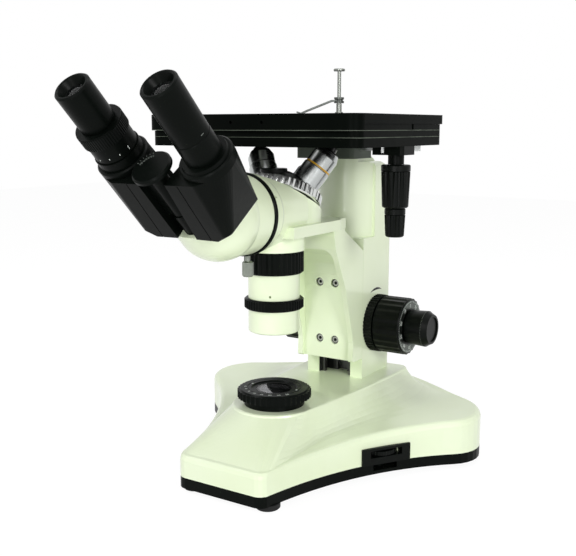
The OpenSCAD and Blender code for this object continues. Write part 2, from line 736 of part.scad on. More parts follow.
back_y = column_front - gap;
bracket_top = shelf_z - shelf_t;
arch_r = column_half - rib_t;
arch_round = 9;
recess_top = 188;
screw_z = [98.9, 152.2];
screw_depth = 4;
module focus_bracket() {
  color(cream) {
    difference() {
      rotate([90, 0, 90]) translate([0, 0, -column_half]) linear_extrude(2 * column_half)
        polygon([[back_y, bracket_z], [rib_front + 1.5, bracket_z], [rib_front, bracket_z + 1.5], [rib_front + 0.8, 99], [78.8, 125], [71.2, 150],
          [60.4, 172], [52.1, 189], [49.3, 201], [49.3, bracket_top + tiny], [68.3, bracket_top + tiny],
          [68.3, 203.6], [101, 183.4], [back_y, 182]]);
      intersection() {
        rotate([90, 0, 90]) translate([0, 0, -50]) linear_extrude(100)
          polygon([[30, 79], [panel_y, 79], [panel_y, 148], [panel_y - 1.5, 160], [panel_y - 6, 171], [panel_y - 13, 180],
            [panel_y - 22, 186], [60, 188], [30, 188]]);
        translate([0, 95, 0]) rotate([90, 0, 0]) linear_extrude(80) {
          translate([-arch_r, 70]) square([2 * arch_r, recess_top - arch_round - 70]);
          translate([-arch_r + arch_round, 70]) square([2 * (arch_r - arch_round), recess_top - 70]);
          for (x = [-1, 1]) translate([x * (arch_r - arch_round), recess_top - arch_round]) circle(arch_round);
        }
      }
      for (x = [-screw_dx, screw_dx]) for (z = screw_z) translate([x, back_y + 1, z]) rotate([90, 0, 0]) {
        cylinder(r = 2.2, h = 30);
        translate([0, 0, back_y + 1 - panel_y - screw_depth]) cylinder(r = screw_head_r + 0.4, h = 30);
      }
    }
    shelf();
  }
}

shelf_back = 70;
shelf_y = 52;
shelf_front = -21;
shelf_round = 10;
module shelf() {
  difference() {
    translate([0, 0, bracket_top]) linear_extrude(shelf_t) {
      translate([-shelf_r, shelf_front]) square([2 * shelf_r, shelf_y - shelf_front]);
      translate([-shelf_r + shelf_round, shelf_y - 1]) square([2 * (shelf_r - shelf_round), shelf_round + 1]);
      for (x = [-1, 1]) translate([x * (shelf_r - shelf_round), shelf_y]) circle(shelf_round);
      translate([-29, shelf_y]) square([58, shelf_back - shelf_y]);
    }
    translate([0, 0, bracket_top - 1]) cylinder(r = lower_drum_r + run, h = shelf_t + 2);
    translate([0, shelf_front - 1, collar_z]) rotate([-90, 0, 0]) cylinder(r = collar_r - collar_step + run, h = 30, $fn = 96);
  }
}

module bracket_screws() {
  color(steel) for (x = [-screw_dx, screw_dx]) for (z = screw_z)
    translate([x, panel_y + screw_depth, z]) rotate([90, 0, 0]) difference() {
      union() {
        cylinder(r = screw_head_r, h = 2.6);
        translate([0, 0, -18]) cylinder(r = 2, h = 18 + tiny);
      }
      translate([0, 0, 0.8]) cylinder(r = 1.7, h = 5, $fn = 6);
    }
}

block_z0 = 88;
block_z1 = 170;
module slide_block() {
  color(steel) difference() {
    translate([-slot_half + run, back_y, block_z0]) cube([2 * (slot_half - run), column_front + slot_depth - 1 - back_y, block_z1 - block_z0]);
    for (x = [-slot_half - 1, slot_half - rail_in - run]) translate([x, column_front + rail_y0 - run, block_z0 - 1])
      cube([rail_in + 1 + run, rail_y1 - rail_y0 + 2 * run, block_z1 - block_z0 + 2]);
    for (x = [-screw_dx, screw_dx]) for (z = screw_z) translate([x, back_y + 12, z]) rotate([90, 0, 0]) cylinder(r = 2 + run, h = 30);
  }
}

rack_z0 = 84;
rack_teeth = 22;
module focus_rack() {
  y0 = column_front + slot_depth - 1;
  color(steel) rotate([90, 0, 90]) translate([0, 0, -rack_half]) linear_extrude(2 * rack_half)
    polygon(concat([[y0, rack_z0 + 3 * rack_teeth + 1], [y0, rack_z0]],
      [for (i = [0:rack_teeth - 1]) each [[rack_back - 1, rack_z0 + 3 * i + 0.4], [rack_back, rack_z0 + 3 * i + 1],
                                          [rack_back, rack_z0 + 3 * i + 1.8], [rack_back - 1, rack_z0 + 3 * i + 2.4]]],
      [[rack_back - 1, rack_z0 + 3 * rack_teeth + 1]]));
}

// Body with the beam splitter

body_plane = -14;
chamber_half = 10;
chamber_back = 7.2;
chamber_z = collar_z - 12;
splitter_half = 6.5;
path_r = 6.2;
spindle_in = 3;
collar_step = 1.8;
collar_back = 33;
lock_y = 37.5;
sight_turn = 63;
module scope_body() {
  color(cream) difference() {
    union() {
      intersection() {
        union() {
          translate([0, drum_y, shelf_z]) cylinder(r = drum_r, h = 60, $fn = 96);
          translate([0, 0, collar_z]) rotate([90, 0, 0]) rotate_extrude($fn = 96)
            polygon([[0, -6], [collar_r - collar_step, -6], [collar_r - collar_step, collar_back - 3],
              [collar_r - 0.6, collar_back], [collar_r, collar_back + 1.5], [collar_r, collar_front], [0, collar_front]]);
        }
        turret_frame() translate([0, 0, body_plane - 80]) cylinder(r = 120, h = 80);
      }
      translate([0, 0, 193.3]) cylinder(r = lower_drum_r, h = 30, $fn = 96);
    }
    translate([0, 0, 190]) cylinder(r = light_r, h = chamber_z - 190 + 1);
    translate([0, 0, 190]) cylinder(r = path_r, h = 70);
    translate([0, 0, 190]) cylinder(r = tube_r + run, h = 14);
    translate([-chamber_half, -chamber_half - 5, chamber_z])
      cube([2 * chamber_half, chamber_half + 5 + chamber_back, collar_z + chamber_back - chamber_z]);
    translate([0, -chamber_half, collar_z]) rotate([90, 0, 0]) cylinder(r = 14, h = 60);
    translate([0, -lock_y, collar_z - collar_r - 1]) cylinder(r = lock_r + run, h = 11);
    translate([0, 3 - collar_front, collar_z]) rotate([0, sight_turn, 0]) cylinder(r = 1.1, h = collar_r + 2);
    turret_frame() translate([0, 0, body_plane - spindle_in]) cylinder(r = spindle_r + run, h = 20);
  }
}

module illuminator_tube() {
  color(cream) difference() {
    tube_shape();
    rotate([0, 0, set_hole_turn]) translate([0, 0, filter_z + filter_h + 3.5]) rotate([0, 90, 0]) cylinder(r = 1, h = 30);
  }
}

set_hole_turn = -65;
module tube_shape() {
  turned([[light_r, 203.5], [tube_r, 203.5], [tube_r, tube_z + 1], [tube_r - 1, tube_z],
    [16, tube_z], [16, tube_z + 8], [18, tube_z + 8], [18, 196], [light_r, 196]]);
}

module beam_splitter() {
  color(glass_blue) translate([-splitter_half, -splitter_half, collar_z - splitter_half]) cube(2 * splitter_half);
  color(black) difference() {
    translate([-chamber_half + 1, -chamber_half + 1, chamber_z])
      cube([2 * chamber_half - 2, chamber_half - 1 + chamber_back - 0.2, collar_z - splitter_half - chamber_z]);
    translate([0, 0, chamber_z - 1]) cylinder(r = path_r, h = 20);
  }
}

spindle_r = 3.5;
seat_disc_r = 29;
module turret_seat() {
  color(black) difference() {
    turret_frame() {
      translate([0, 0, body_plane]) cylinder(r = seat_disc_r, h = 0.2);
      translate([0, 0, body_plane - spindle_in + 0.2]) cylinder(r = spindle_r, h = cone_top + gap - body_plane + spindle_in);
      translate([0, 0, cone_top + gap]) cylinder(r = 6, h = 2);
    }
    translate([0, 0, 200]) cylinder(r = path_r, h = 60);
  }
}

module head_joint_ring() {
  color(black) translate([0, -collar_front, collar_z]) rotate([90, 0, 0])
    turned([[16, 0], [joint_r - 0.5, 0], [joint_r, 0.5], [joint_r, joint_w - 0.5], [joint_r - 0.5, joint_w], [16, joint_w]]);
}

joint_w = 4;
joint_r = 32.8;
bore_r = 18;
hinge_y = 23;
pin_r = 3;
module head_casting() {
  color(cream) difference() {
    union() {
      head_frame() translate([0, 0, -neck_l]) rotate_extrude($fn = 96) intersection() {
        union() {
          circle(elbow_r);
          square([elbow_r, neck_l]);
        }
        translate([0, -2 * elbow_r]) square([2 * elbow_r, 2 * elbow_r + neck_l]);
      }
      translate([0, -collar_front - joint_w, collar_z]) rotate([90, 0, 0])
        cylinder(r = collar_r, h = elbow_y - collar_front - joint_w, $fn = 96);
    }
    translate([-60, -collar_front - joint_w, collar_z - 60]) cube([120, 60, 120]);
    head_frame() translate([-60, -60, tiny]) cube([120, 120, 40]);
    head_frame() translate([0, 0, -neck_l - 6]) cylinder(r = bore_r - 2, h = 60);
    translate([0, -collar_front, collar_z]) rotate([90, 0, 0]) cylinder(r = bore_r, h = elbow_y - collar_front + 6);
    head_frame() translate([0, -hinge_y, -8]) cylinder(r = pin_r + run, h = 20);
  }
}

module head_prism() {
  color(glass_blue) rotate([90, 0, 90]) translate([0, 0, -10]) linear_extrude(20)
    polygon([[-elbow_y + 12, collar_z - 10], [-elbow_y + 12, collar_z + 8], [-elbow_y - 8, collar_z + 2],
      [-elbow_y - 10, collar_z - 2], [-elbow_y - 4, collar_z - 10]]);
  color(black) translate([-8, -elbow_y - 3, collar_z - bore_r + 2]) cube([16, 14, bore_r - 12]);
}

pin_top = 61.3;
scale_r = 15;
module head_hinge() {
  color(black) head_frame() translate([0, -hinge_y, 0]) {
    translate([0, 0, -7.6]) cylinder(r = pin_r, h = 7.6 + pin_top);
    translate([0, 0, pin_top - tiny]) turned([[0, 0], [scale_r, 0], [scale_r, 2.2], [scale_r - 1.2, 3.4], [0, 3.4]]);
  }
}

lock_r = 2.4;
module lock_screw() {
  top = collar_z - collar_r;
  color(steel) translate([0, -lock_y, 0]) difference() {
    union() {
      translate([0, 0, 188]) cylinder(r = lock_r, h = top + 7 - 188);
      translate([0, 0, 176.8]) linear_extrude(10.6) polygon(fluted(4.6, 20, 0.35));
      translate([0, 0, 176]) turned([[0, 0], [3.8, 0], [4.3, 0.8], [4.3, 11.5], [3.4, 12.4], [0, 12.4]]);
    }
    translate([-0.5, -6, 175]) cube([1, 12, 2]);
  }
}

module aperture_ring() {
  color(black) translate([0, 0, aperture_z]) difference() {
    union() {
      translate([0, 0, 1]) linear_extrude(aperture_h - 2) polygon(fluted(ring_r, 40, 0.8));
      turned([[0, 0], [ring_r - 1.4, 0], [ring_r - 0.7, 1], [ring_r - 0.7, aperture_h - 1], [ring_r - 1.4, aperture_h], [0, aperture_h]]);
    }
    translate([0, 0, -1]) cylinder(r = tube_r + run, h = aperture_h + 2);
  }
}

module filter_ring() {
  color(black) translate([0, 0, filter_z]) difference() {
    union() {
      translate([0, 0, 1]) linear_extrude(filter_h - 2) polygon(fluted(ring_r, 56, 0.6));
      turned([[0, 0], [ring_r - 1.4, 0], [ring_r - 0.7, 1], [ring_r - 0.7, filter_h - 1], [ring_r - 1.4, filter_h], [0, filter_h]]);
    }
    translate([0, 0, -1]) cylinder(r = tube_r + run, h = filter_h + 2);
  }
}

// Nosepiece

turret_flutes = 52;
cone_slope = tan(turret_tilt);
cone_top = (seat_r - 9) * cone_slope;
ring_z0 = -13.5;
ring_z1 = ring_z0 + turret_h;
thread_r = 7.5;
module turret() {
  color(steel) difference() {
    turret_frame() union() {
      translate([0, 0, ring_z0 + 0.8]) linear_extrude(turret_h - 1.6) polygon(fluted(turret_r, turret_flutes, 0.9));
      turned([[0, ring_z0], [turret_r - 1.6, ring_z0], [turret_r - 0.8, ring_z0 + 0.8], [turret_r - 0.8, ring_z1 - 0.8],
        [turret_r - 1.6, ring_z1], [30.5, ring_z1], [30, (seat_r - 30) * cone_slope], [9, cone_top], [0, cone_top]]);
    }
    turret_frame() translate([0, 0, -20]) cylinder(r = spindle_r + run, h = 60);
    for (a = [0, 90, 180, 270]) seat_frame(a) translate([0, 0, -30]) cylinder(r = thread_r, h = 30.5);
  }
}

module objective(l, r, nose) {
  difference() {
    turned([[0, -5], [thread_r - 0.1, -5], [thread_r - 0.1, 0], [r, 0], [r, 0.4 * l], [r - 0.7, 0.42 * l],
      [r - 0.7, 0.72 * l], [0.76 * r, 0.86 * l], [0.72 * r, 0.87 * l], [nose, 0.9 * l], [nose - 0.4, l - 0.6], [nose - 1, l], [0, l]]);
    translate([0, 0, l - 0.8]) cylinder(r = nose - 1.8, h = 2);
  }
}
module objective_right() { color(steel) seat_frame(90) objective(objective_l, objective_r, 5.2); }
module objective_left() { color(steel) seat_frame(-90) objective(objective_l - 3, objective_r, 6); }
module objective_rear() { color(steel) seat_frame(180) objective(objective_l - 6, objective_r, 6.5); }

cap_h = 3.2;
module dust_cap() {
  color(black) seat_frame(0)
    turned([[0, -4], [thread_r - 0.1, -4], [thread_r - 0.1, 0], [cap_r, 0], [cap_r, cap_h - 0.6], [cap_r - 0.6, cap_h], [0, cap_h]]);
}

// Binocular head

tube_y = eye_back - hinge_y;
box_bottom = 0.6;
collar_z0 = box_l - 2;
collar_z1 = box_l + 5;
knuckle_r = 6.5;
low_knuckle_r = 7.3;
knuckle_split = 19.6;
box_round = 7;
box_foot = [[8.5, -34], [28, -34.3], [42, 6], [18, 6], [8.5, -16]];
module prism_box_shape() {
  hull() {
    translate([0, 0, box_bottom]) linear_extrude(0.5) polygon(box_foot);
    translate([34, -34.2 + box_round, box_bottom + 5]) cylinder(r = box_round, h = 0.5, $fn = 48);
    translate([0, 0, box_l - 0.5]) linear_extrude(0.5) {
      polygon([[12, -32], [34, -32], [40, -26], [12, -26]]);
      translate([35, -32 + box_round]) circle(box_round, $fn = 48);
    }
    translate([eye_half, tube_y, collar_z0]) cylinder(r = eye_collar_r, h = 2, $fn = 48);
  }
  translate([eye_half, tube_y, collar_z0]) cylinder(r = eye_collar_r, h = collar_z1 - collar_z0 - 1, $fn = 96);
  translate([eye_half, tube_y, collar_z1 - 1 - tiny])
    turned([[0, 0], [eye_collar_r, 0], [eye_collar_r - 1, 1], [0, 1]]);
}
module knuckle(r, z0, z1) {
  translate([0, -hinge_y, z0]) cylinder(r = r, h = z1 - z0);
  translate([0, -hinge_y - 4.5, z0]) cube([11, 9, z1 - z0]);
}

tube_foot = collar_z0 - 6;
module box_bores() {
  translate([22, -33.9, box_bottom]) rotate([-atan2(2, box_l), 0, 0]) translate([0, -1, -1]) cube([0.7, 1.5, box_l]);
  translate([eye_half, tube_y, tube_foot]) cylinder(r = eye_tube_r + run, h = 60);
  translate([0, -hinge_y, -1]) cylinder(r = pin_r + run, h = 90);
}

module prism_box_right() {
  color(black) head_frame() difference() {
    union() {
      prism_box_shape();
      knuckle(low_knuckle_r, box_bottom, knuckle_split - gap);
      translate([eye_half, tube_y, collar_z1 - tiny])
        turned([[0, 0], [eye_collar_r - 2.4, 0], [eye_collar_r - 3.2, 2.2], [0, 2.2]]);
    }
    box_bores();
  }
}

left_collar_r = 17.5;
left_collar_z = 68;
module prism_box_left() {
  color(black) head_frame() mirror([1, 0, 0]) difference() {
    union() {
      prism_box_shape();
      knuckle(knuckle_r, knuckle_split, pin_top - gap);
      translate([eye_half, tube_y, collar_z1 - 1]) cylinder(r = left_collar_r, h = left_collar_z - collar_z1 + 1);
    }
    box_bores();
  }
}

right_top = collar_z1 + right_tube_l;
module eye_tube(top) {
  turned([[eye_bore_r, tube_foot], [eye_tube_r, tube_foot], [eye_tube_r, top - 0.5], [eye_tube_r - 0.5, top], [eye_bore_r, top]]);
}
module eye_tube_right() { color(black) head_frame() translate([eye_half, tube_y, 0]) eye_tube(right_top); }
dioptre_z = left_collar_z + gap;
dioptre_top = dioptre_z + dioptre_l;
lip_z = dioptre_top - 2.3;
module eye_tube_left() { color(steel) head_frame() translate([-eye_half, tube_y, 0]) eye_tube(lip_z - gap); }

// Eyepiece standing on z = 0: barrel below, eyecup above
module eyepiece(l) {
  turned([[0, -15], [eye_bore_r - run, -15], [eye_bore_r - run, 0], [eyepiece_r - 0.3, 0], [eyepiece_r, 0.5],
    [eyepiece_r, l - 1.2], [eyepiece_r - 1.2, l], [11, l], [10.4, l - 0.6], [7.6, l - 5.5], [0, l - 5.5]]);
}
module eyepiece_right() { color(black) head_frame() translate([eye_half, tube_y, right_top]) eyepiece(right_eyepiece_l); }
module eyepiece_left() { color(black) head_frame() translate([-eye_half, tube_y, dioptre_top]) eyepiece(left_eyepiece_l); }

dioptre_low_r = 16.5;
module dioptre_ring() {
  color(black) head_frame() translate([-eye_half, tube_y, dioptre_z]) difference() {
    union() {
      cylinder(r = dioptre_low_r, h = dioptre_l - 10);
      translate([0, 0, dioptre_l - 10.6]) linear_extrude(9.8) polygon(fluted(dioptre_r, 64, 0.3));
      translate([0, 0, dioptre_l - 11]) cylinder(r = dioptre_r - 0.4, h = 11);
    }
    translate([0, 0, -1]) cylinder(r = eye_tube_r + run, h = lip_z - dioptre_z + 1);
    translate([0, 0, -1]) cylinder(r = eye_bore_r, h = 60);
  }
}

// Stage

opening_r = 54;
opening_y = 30;
lower_half = stage_half - 1.2;
low_front = -38;
low_rear = 116;
mid_front = -30.7;
mid_rear = 108.7;
mid_z = stage_z - upper_t - run;
pinion_z0 = 291.2;
pinion_z1 = mid_z - 0.5;
x_rack_y = knob_y + stage_pinion_r + gap;
x_rack_w = 3;
x_rack_x0 = 66;
x_rack_x1 = 97;
module lower_plate() {
  color(black) difference() {
    union() {
      translate([0, 0, lower_z]) rounded_slab(-lower_half, low_front, lower_half, low_rear, stage_corner_r - 1, split_z - lower_z);
      translate([-lower_half, mid_front, split_z - tiny]) cube([2 * lower_half, mid_rear - mid_front, mid_z - split_z + tiny]);
    }
    translate([0, opening_y, lower_z - 1]) cylinder(r = opening_r, h = 30, $fn = 96);
    translate([0, low_rear + 1, 0]) rotate([90, 0, 0]) linear_extrude(60) {
      translate([-guide_in - run, lower_z - 1]) square([2 * (guide_in + run), guide_z - lower_z + 1 + run]);
      translate([-guide_out - run, guide_z - run]) square([2 * (guide_out + run), guide_top - guide_z + 2 * run]);
    }
    translate([knob_x, knob_y, lower_z - 1]) cylinder(r = x_shaft_r + run, h = 30);
    translate([knob_x, knob_y, pinion_z0 - 0.4]) cylinder(r = stage_pinion_r + 1, h = 30);
    translate([x_rack_x0 - stage_travel - 3, x_rack_y - gap - 0.2, pinion_z0 - 0.4]) cube([60, x_rack_w + 0.6, 30]);
    translate([-stage_half - 1, low_front - 1, 284.4]) cube([2 * stage_half + 2, 2, 0.8]);
  }
}

block_x0 = 70.5;
block_x1 = 98.5;
block_bottom = 271;
sleeve_r = 6.5;
y_shaft_r = 4;
x_shaft_r = 2;
module knob_block() {
  color(black) difference() {
    union() {
      translate([0, 0, block_bottom]) rounded_slab(block_x0, knob_y - 12, block_x1, knob_y + 12, 3, lower_z - block_bottom);
      translate([knob_x, knob_y, upper_knob_top + gap]) cylinder(r = sleeve_r, h = block_bottom - upper_knob_top - gap + tiny);
    }
    translate([bar_x1 - bar_w - gap, knob_y - 20, bar_z0 - gap]) cube([bar_w + 2 * gap, 40, 20]);
    translate([bar_x1 - 1, knob_y - stage_pinion_r - 1, bar_z0 - gap]) cube([knob_x - bar_x1 + 1, 2 * stage_pinion_r + 2, 20]);
    translate([knob_x, knob_y, bar_z0 - gap]) cylinder(r = stage_pinion_r + 1, h = 20);
    translate([knob_x, knob_y, 200]) cylinder(r = y_shaft_r + run, h = 90);
  }
}

upper_knob_top = 263.2;
lower_knob_top = upper_knob_top - upper_knob_l - gap;
knob_collar_h = 5.6;
knob_taper = 0.9;
flute_in = 1.8;
flute_proud = 0.4;
module stage_knob(top, r, l, bore, flutes) {
  body_l = l - knob_collar_h;
  translate([knob_x, knob_y, top - l]) difference() {
    union() {
      intersection() {
        linear_extrude(body_l) polygon(fluted(r + flute_proud, flutes, flute_in, 6));
        turned([[0, 0], [knob_taper * r - 1, 0], [knob_taper * r, 1], [r, body_l], [0, body_l]]);
      }
      translate([0, 0, body_l - tiny])
        turned([[0, 0], [r - flute_in, 0], [r, 0.5], [r, knob_collar_h - 0.8], [r - 0.8, knob_collar_h], [0, knob_collar_h]]);
    }
    if (bore > 0) translate([0, 0, -1]) cylinder(r = bore, h = l + 2);
  }
}

module y_knob() {
  color(black) {
    stage_knob(upper_knob_top, upper_knob_r, upper_knob_l, x_shaft_r + run, 14);
    translate([knob_x, knob_y, upper_knob_top - tiny]) difference() {
      union() {
        cylinder(r = y_shaft_r, h = bar_z1 - upper_knob_top);
        translate([0, 0, bar_z0 - upper_knob_top]) linear_extrude(bar_z1 - bar_z0) polygon(fluted(stage_pinion_r, 11, 0.8));
      }
      translate([0, 0, -1]) cylinder(r = x_shaft_r + run, h = 40);
    }
  }
}

module x_knob() {
  color(black) {
    stage_knob(lower_knob_top, lower_knob_r, lower_knob_l, 0, 11);
    translate([knob_x, knob_y, lower_knob_top - tiny]) cylinder(r = x_shaft_r, h = pinion_z1 - lower_knob_top);
    translate([knob_x, knob_y, pinion_z0]) linear_extrude(pinion_z1 - pinion_z0) polygon(fluted(stage_pinion_r, 11, 0.8));
  }
}

module upper_plate() {
  lip_in = gap / 3;
  color(black) difference() {
    union() {
      translate([0, 0, stage_z - upper_t]) rounded_slab(-stage_half, -stage_front, stage_half, stage_rear, stage_corner_r, upper_t);
      for (lip = [[-stage_front, mid_front - lip_in, stage_half], [mid_rear + lip_in, stage_rear, stage_half - 10]])
        intersection() {
          translate([0, 0, split_z + gap]) rounded_slab(-stage_half, -stage_front, stage_half, stage_rear, stage_corner_r, 8);
          translate([-lip[2], lip[0], split_z]) cube([2 * lip[2], lip[1] - lip[0], 10]);
        }
      translate([0, 0, pinion_z0]) linear_extrude(stage_z - upper_t - pinion_z0 + tiny)
        polygon(concat([[x_rack_x1, x_rack_y + x_rack_w], [x_rack_x0, x_rack_y + x_rack_w]],
          [for (i = [0:9]) each [[x_rack_x0 + 3 * i + 0.4, x_rack_y + 0.8], [x_rack_x0 + 3 * i + 0.9, x_rack_y],
                                 [x_rack_x0 + 3 * i + 1.6, x_rack_y], [x_rack_x0 + 3 * i + 2.1, x_rack_y + 0.8]]],
          [[x_rack_x1, x_rack_y + 0.8]]));
    }
    translate([0, 0, stage_z - insert_t]) cylinder(r = insert_r, h = 10, $fn = 96);
    translate([0, 0, stage_z - 20]) cylinder(r = insert_r - 5, h = 30, $fn = 96);
    translate([post_x, post_y, stage_z - 5]) cylinder(r = post_r + run, h = 10);
    translate([post_x, post_y, stage_z - flange_in]) cylinder(r = flange_r + 0.15, h = 10);
    for (x = [16, -13]) translate([x, -stage_front + 5, 296.5]) rotate([90, 0, 0]) cylinder(r = 1.2, h = 10);
  }
}

module stage_insert() {
  color(steel) translate([0, 0, stage_z - insert_t]) difference() {
    cylinder(r = insert_r - run, h = insert_t, $fn = 96);
    translate([0, 0, -1]) cylinder(r = specimen_r, h = 10);
    translate([0, 0, 0.8]) turned([[0, 0], [specimen_r + 1.2, 0], [specimen_r + 3.4, 3], [0, 3]]);
  }
}

collar_top = 316.6;
clip_hub_h = 4.6;
flange_in = 1;
flange_r = 3.2;
module clip_post() {
  color(steel) translate([post_x, post_y, 0]) {
    translate([0, 0, stage_z - 4.5]) cylinder(r = post_r, h = post_h + 4.5 - 2);
    translate([0, 0, stage_z - flange_in]) cylinder(r = flange_r, h = flange_in + 2);
    translate([0, 0, stage_z + 1]) cylinder(r = 2.2, h = collar_top - clip_hub_h - gap - stage_z - 1);
    translate([0, 0, stage_z + post_h - 2]) turned([[0, 0], [4.2, 0], [4.6, 0.5], [4.6, 1.5], [4.2, 2], [0, 2]]);
  }
}

arm_turn = atan2(-12, -28.5);
module clip_arm() {
  color(black) translate([post_x, post_y, 0]) rotate([0, 0, arm_turn]) difference() {
    union() {
      translate([0, 0, collar_top - clip_hub_h])
        turned([[0, 0], [4, 0], [4, 1.6], [3.2, 1.9], [3.2, 2.7], [4, 3], [4, clip_hub_h], [0, clip_hub_h]]);
      translate([0, 2.5, 0]) rotate([90, 0, 0]) linear_extrude(5)
        polygon([[2, 313], [6, 313], [26, 305.2], [30.5, 303.3], [31.5, 303.3], [34.5, 304.6], [34.2, 305.6],
          [31, 304.5], [26.4, 306.6], [6.2, 314.5], [2, 314.5]]);
    }
    translate([0, 0, 290]) cylinder(r = post_r + run, h = 40);
  }
}

feet();
bottom_plate();
base_cover();
side_bezel();
lamp_socket();
lamp_bulb();
collector_lens();
transformer();
control_board();
lens_mount();
column();
power_inlet();
stage_base();
stage_rack();
power_rocker();
dimmer_wheel();
field_ring();
field_glass();
tension_ring();
coarse_knob_right();
coarse_knob_left();
pinion_shaft();
fine_knob_right();
fine_knob_left();
fine_shaft();
focus_bracket();
bracket_screws();
slide_block();
focus_rack();
scope_body();
illuminator_tube();
beam_splitter();
turret_seat();
head_joint_ring();
head_casting();
head_prism();
head_hinge();
lock_screw();
aperture_ring();
filter_ring();
turret();
objective_right();
objective_left();
objective_rear();
dust_cap();
prism_box_right();
eye_tube_right();
eyepiece_right();
prism_box_left();
eye_tube_left();
dioptre_ring();
eyepiece_left();
lower_plate();
knob_block();
x_knob();
y_knob();
upper_plate();
stage_insert();
clip_post();
clip_arm();
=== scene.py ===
import math
import bpy
import numpy as np
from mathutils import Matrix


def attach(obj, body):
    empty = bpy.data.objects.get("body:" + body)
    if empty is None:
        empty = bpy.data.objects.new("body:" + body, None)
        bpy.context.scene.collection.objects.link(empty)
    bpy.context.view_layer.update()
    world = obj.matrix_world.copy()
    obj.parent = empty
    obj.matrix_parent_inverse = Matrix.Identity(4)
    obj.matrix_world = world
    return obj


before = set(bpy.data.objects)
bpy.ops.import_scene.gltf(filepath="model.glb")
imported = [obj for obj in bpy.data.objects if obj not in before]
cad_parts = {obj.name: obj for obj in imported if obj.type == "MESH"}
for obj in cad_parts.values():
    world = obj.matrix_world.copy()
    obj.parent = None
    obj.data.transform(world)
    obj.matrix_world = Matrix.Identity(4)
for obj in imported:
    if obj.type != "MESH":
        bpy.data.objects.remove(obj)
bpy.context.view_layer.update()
mm = 0.001
xAxis, yAxis, zAxis = (1, 0, 0), (0, 1, 0), (0, 0, 1)


# A socket of a material with plain arithmetic on it
class Wire:
    def __init__(self, socket):
        self.socket = socket

    def math(self, operation, *others, clamp=False):
        inputs = {index: value for index, value in enumerate((self,) + others)}
        settings = {"operation": operation, "use_clamp": clamp}
        return Wire(addNode(self.socket.id_data, "ShaderNodeMath", settings, inputs).outputs[0])

    def __add__(self, other): return self.math("ADD", other)
    def __radd__(self, other): return self.math("ADD", other)
    def __sub__(self, other): return self.math("SUBTRACT", other)
    def __rsub__(self, other): return (self * -1.0) + other
    def __mul__(self, other): return self.math("MULTIPLY", other)
    def __rmul__(self, other): return self.math("MULTIPLY", other)
    def __truediv__(self, other): return self.math("DIVIDE", other)
    def __pow__(self, other): return self.math("POWER", other)

    # 1 above the level, 0 below it, with a soft step of the given width
    def above(self, level, soft): return ((self - level) / soft + 0.5).math("ADD", 0.0, clamp=True)
    def between(self, low, high, soft): return self.above(low, soft) * (1.0 - self.above(high, soft))


# Adds one node: its settings are attributes, its inputs are numbers or wires
def addNode(tree, kind, settings, inputs):
    node = tree.nodes.new(kind)
    for name, value in settings.items():
        setattr(node, name, value)
    for name, value in inputs.items():
        if isinstance(value, Wire):
            tree.links.new(value.socket, node.inputs[name])
        else:
            node.inputs[name].default_value = value
    return node


# A colour written as a screen shows it, 0 to 255, in the linear numbers that shaders take
def linear(red, green, blue):
    def one(value):
        value = value / 255
        return value / 12.92 if value < 0.04045 else ((value + 0.055) / 1.055) ** 2.4
    return (one(red), one(green), one(blue), 1.0)


# The material's own place to work: its tree, its object coordinates and its shader
class Finish:
    def __init__(self, name, constants):
        self.material = bpy.data.materials.new(name)
        self.material.use_nodes = True
        self.tree = self.material.node_tree
        self.shader = self.tree.nodes["Principled BSDF"]
        for key, value in constants.items():
            self.shader.inputs[key].default_value = value
        self.place = Wire(addNode(self.tree, "ShaderNodeTexCoord", {}, {}).outputs["Object"])

    def add(self, kind, settings, inputs, output=0):
        return Wire(addNode(self.tree, kind, settings, inputs).outputs[output])

    # Noise with a grain of the given size in metres, about 0.5 on average
    def noise(self, size, detail=2.0):
        mapped = self.add("ShaderNodeMapping", {}, {"Vector": self.place, "Scale": (1 / size,) * 3})
        return self.add("ShaderNodeTexNoise", {}, {"Vector": mapped, "Scale": 1.0, "Detail": detail})

    # Noise in thin lines across one or two lengths, each with the given number of lines in a metre
    def lines(self, perMetre, *lengths):
        scaled = {index: length * perMetre for index, length in enumerate(lengths)}
        spread = self.add("ShaderNodeCombineXYZ", {}, scaled)
        return self.add("ShaderNodeTexNoise", {}, {"Vector": spread, "Scale": 1.0, "Detail": 1.0})

    # Distance along a direction from a point, in metres
    def along(self, point, direction):
        shifted = self.add("ShaderNodeVectorMath", {"operation": "SUBTRACT"}, {0: self.place, 1: point})
        inputs = {0: shifted, 1: direction}
        return self.add("ShaderNodeVectorMath", {"operation": "DOT_PRODUCT"}, inputs, "Value")

    # Distance from an axis through a point, in metres: the square root of |v|^2 - (v.d)^2
    def around(self, point, direction):
        shifted = self.add("ShaderNodeVectorMath", {"operation": "SUBTRACT"}, {0: self.place, 1: point})
        reach = self.add("ShaderNodeVectorMath", {"operation": "LENGTH"}, {0: shifted}, "Value")
        return (reach ** 2.0 - self.along(point, direction) ** 2.0).math("MAXIMUM", 0.0).math("SQRT")

    def mix(self, factor, low, high):
        node = addNode(self.tree, "ShaderNodeMix", {"data_type": "RGBA"}, {})
        for name, value in (("Factor_Float", factor), ("A_Color", low), ("B_Color", high)):
            socket = next(item for item in node.inputs if item.identifier == name)
            if isinstance(value, Wire):
                self.tree.links.new(value.socket, socket)
            else:
                socket.default_value = value
        return Wire(next(item for item in node.outputs if item.identifier == "Result_Color"))

    def wire(self, **inputs):
        for name, value in inputs.items():
            self.tree.links.new(value.socket, self.shader.inputs[name.replace("_", " ")])

    def bump(self, height, strength, distance):
        inputs = {"Height": height, "Strength": strength, "Distance": distance}
        self.wire(Normal=self.add("ShaderNodeBump", {}, inputs))


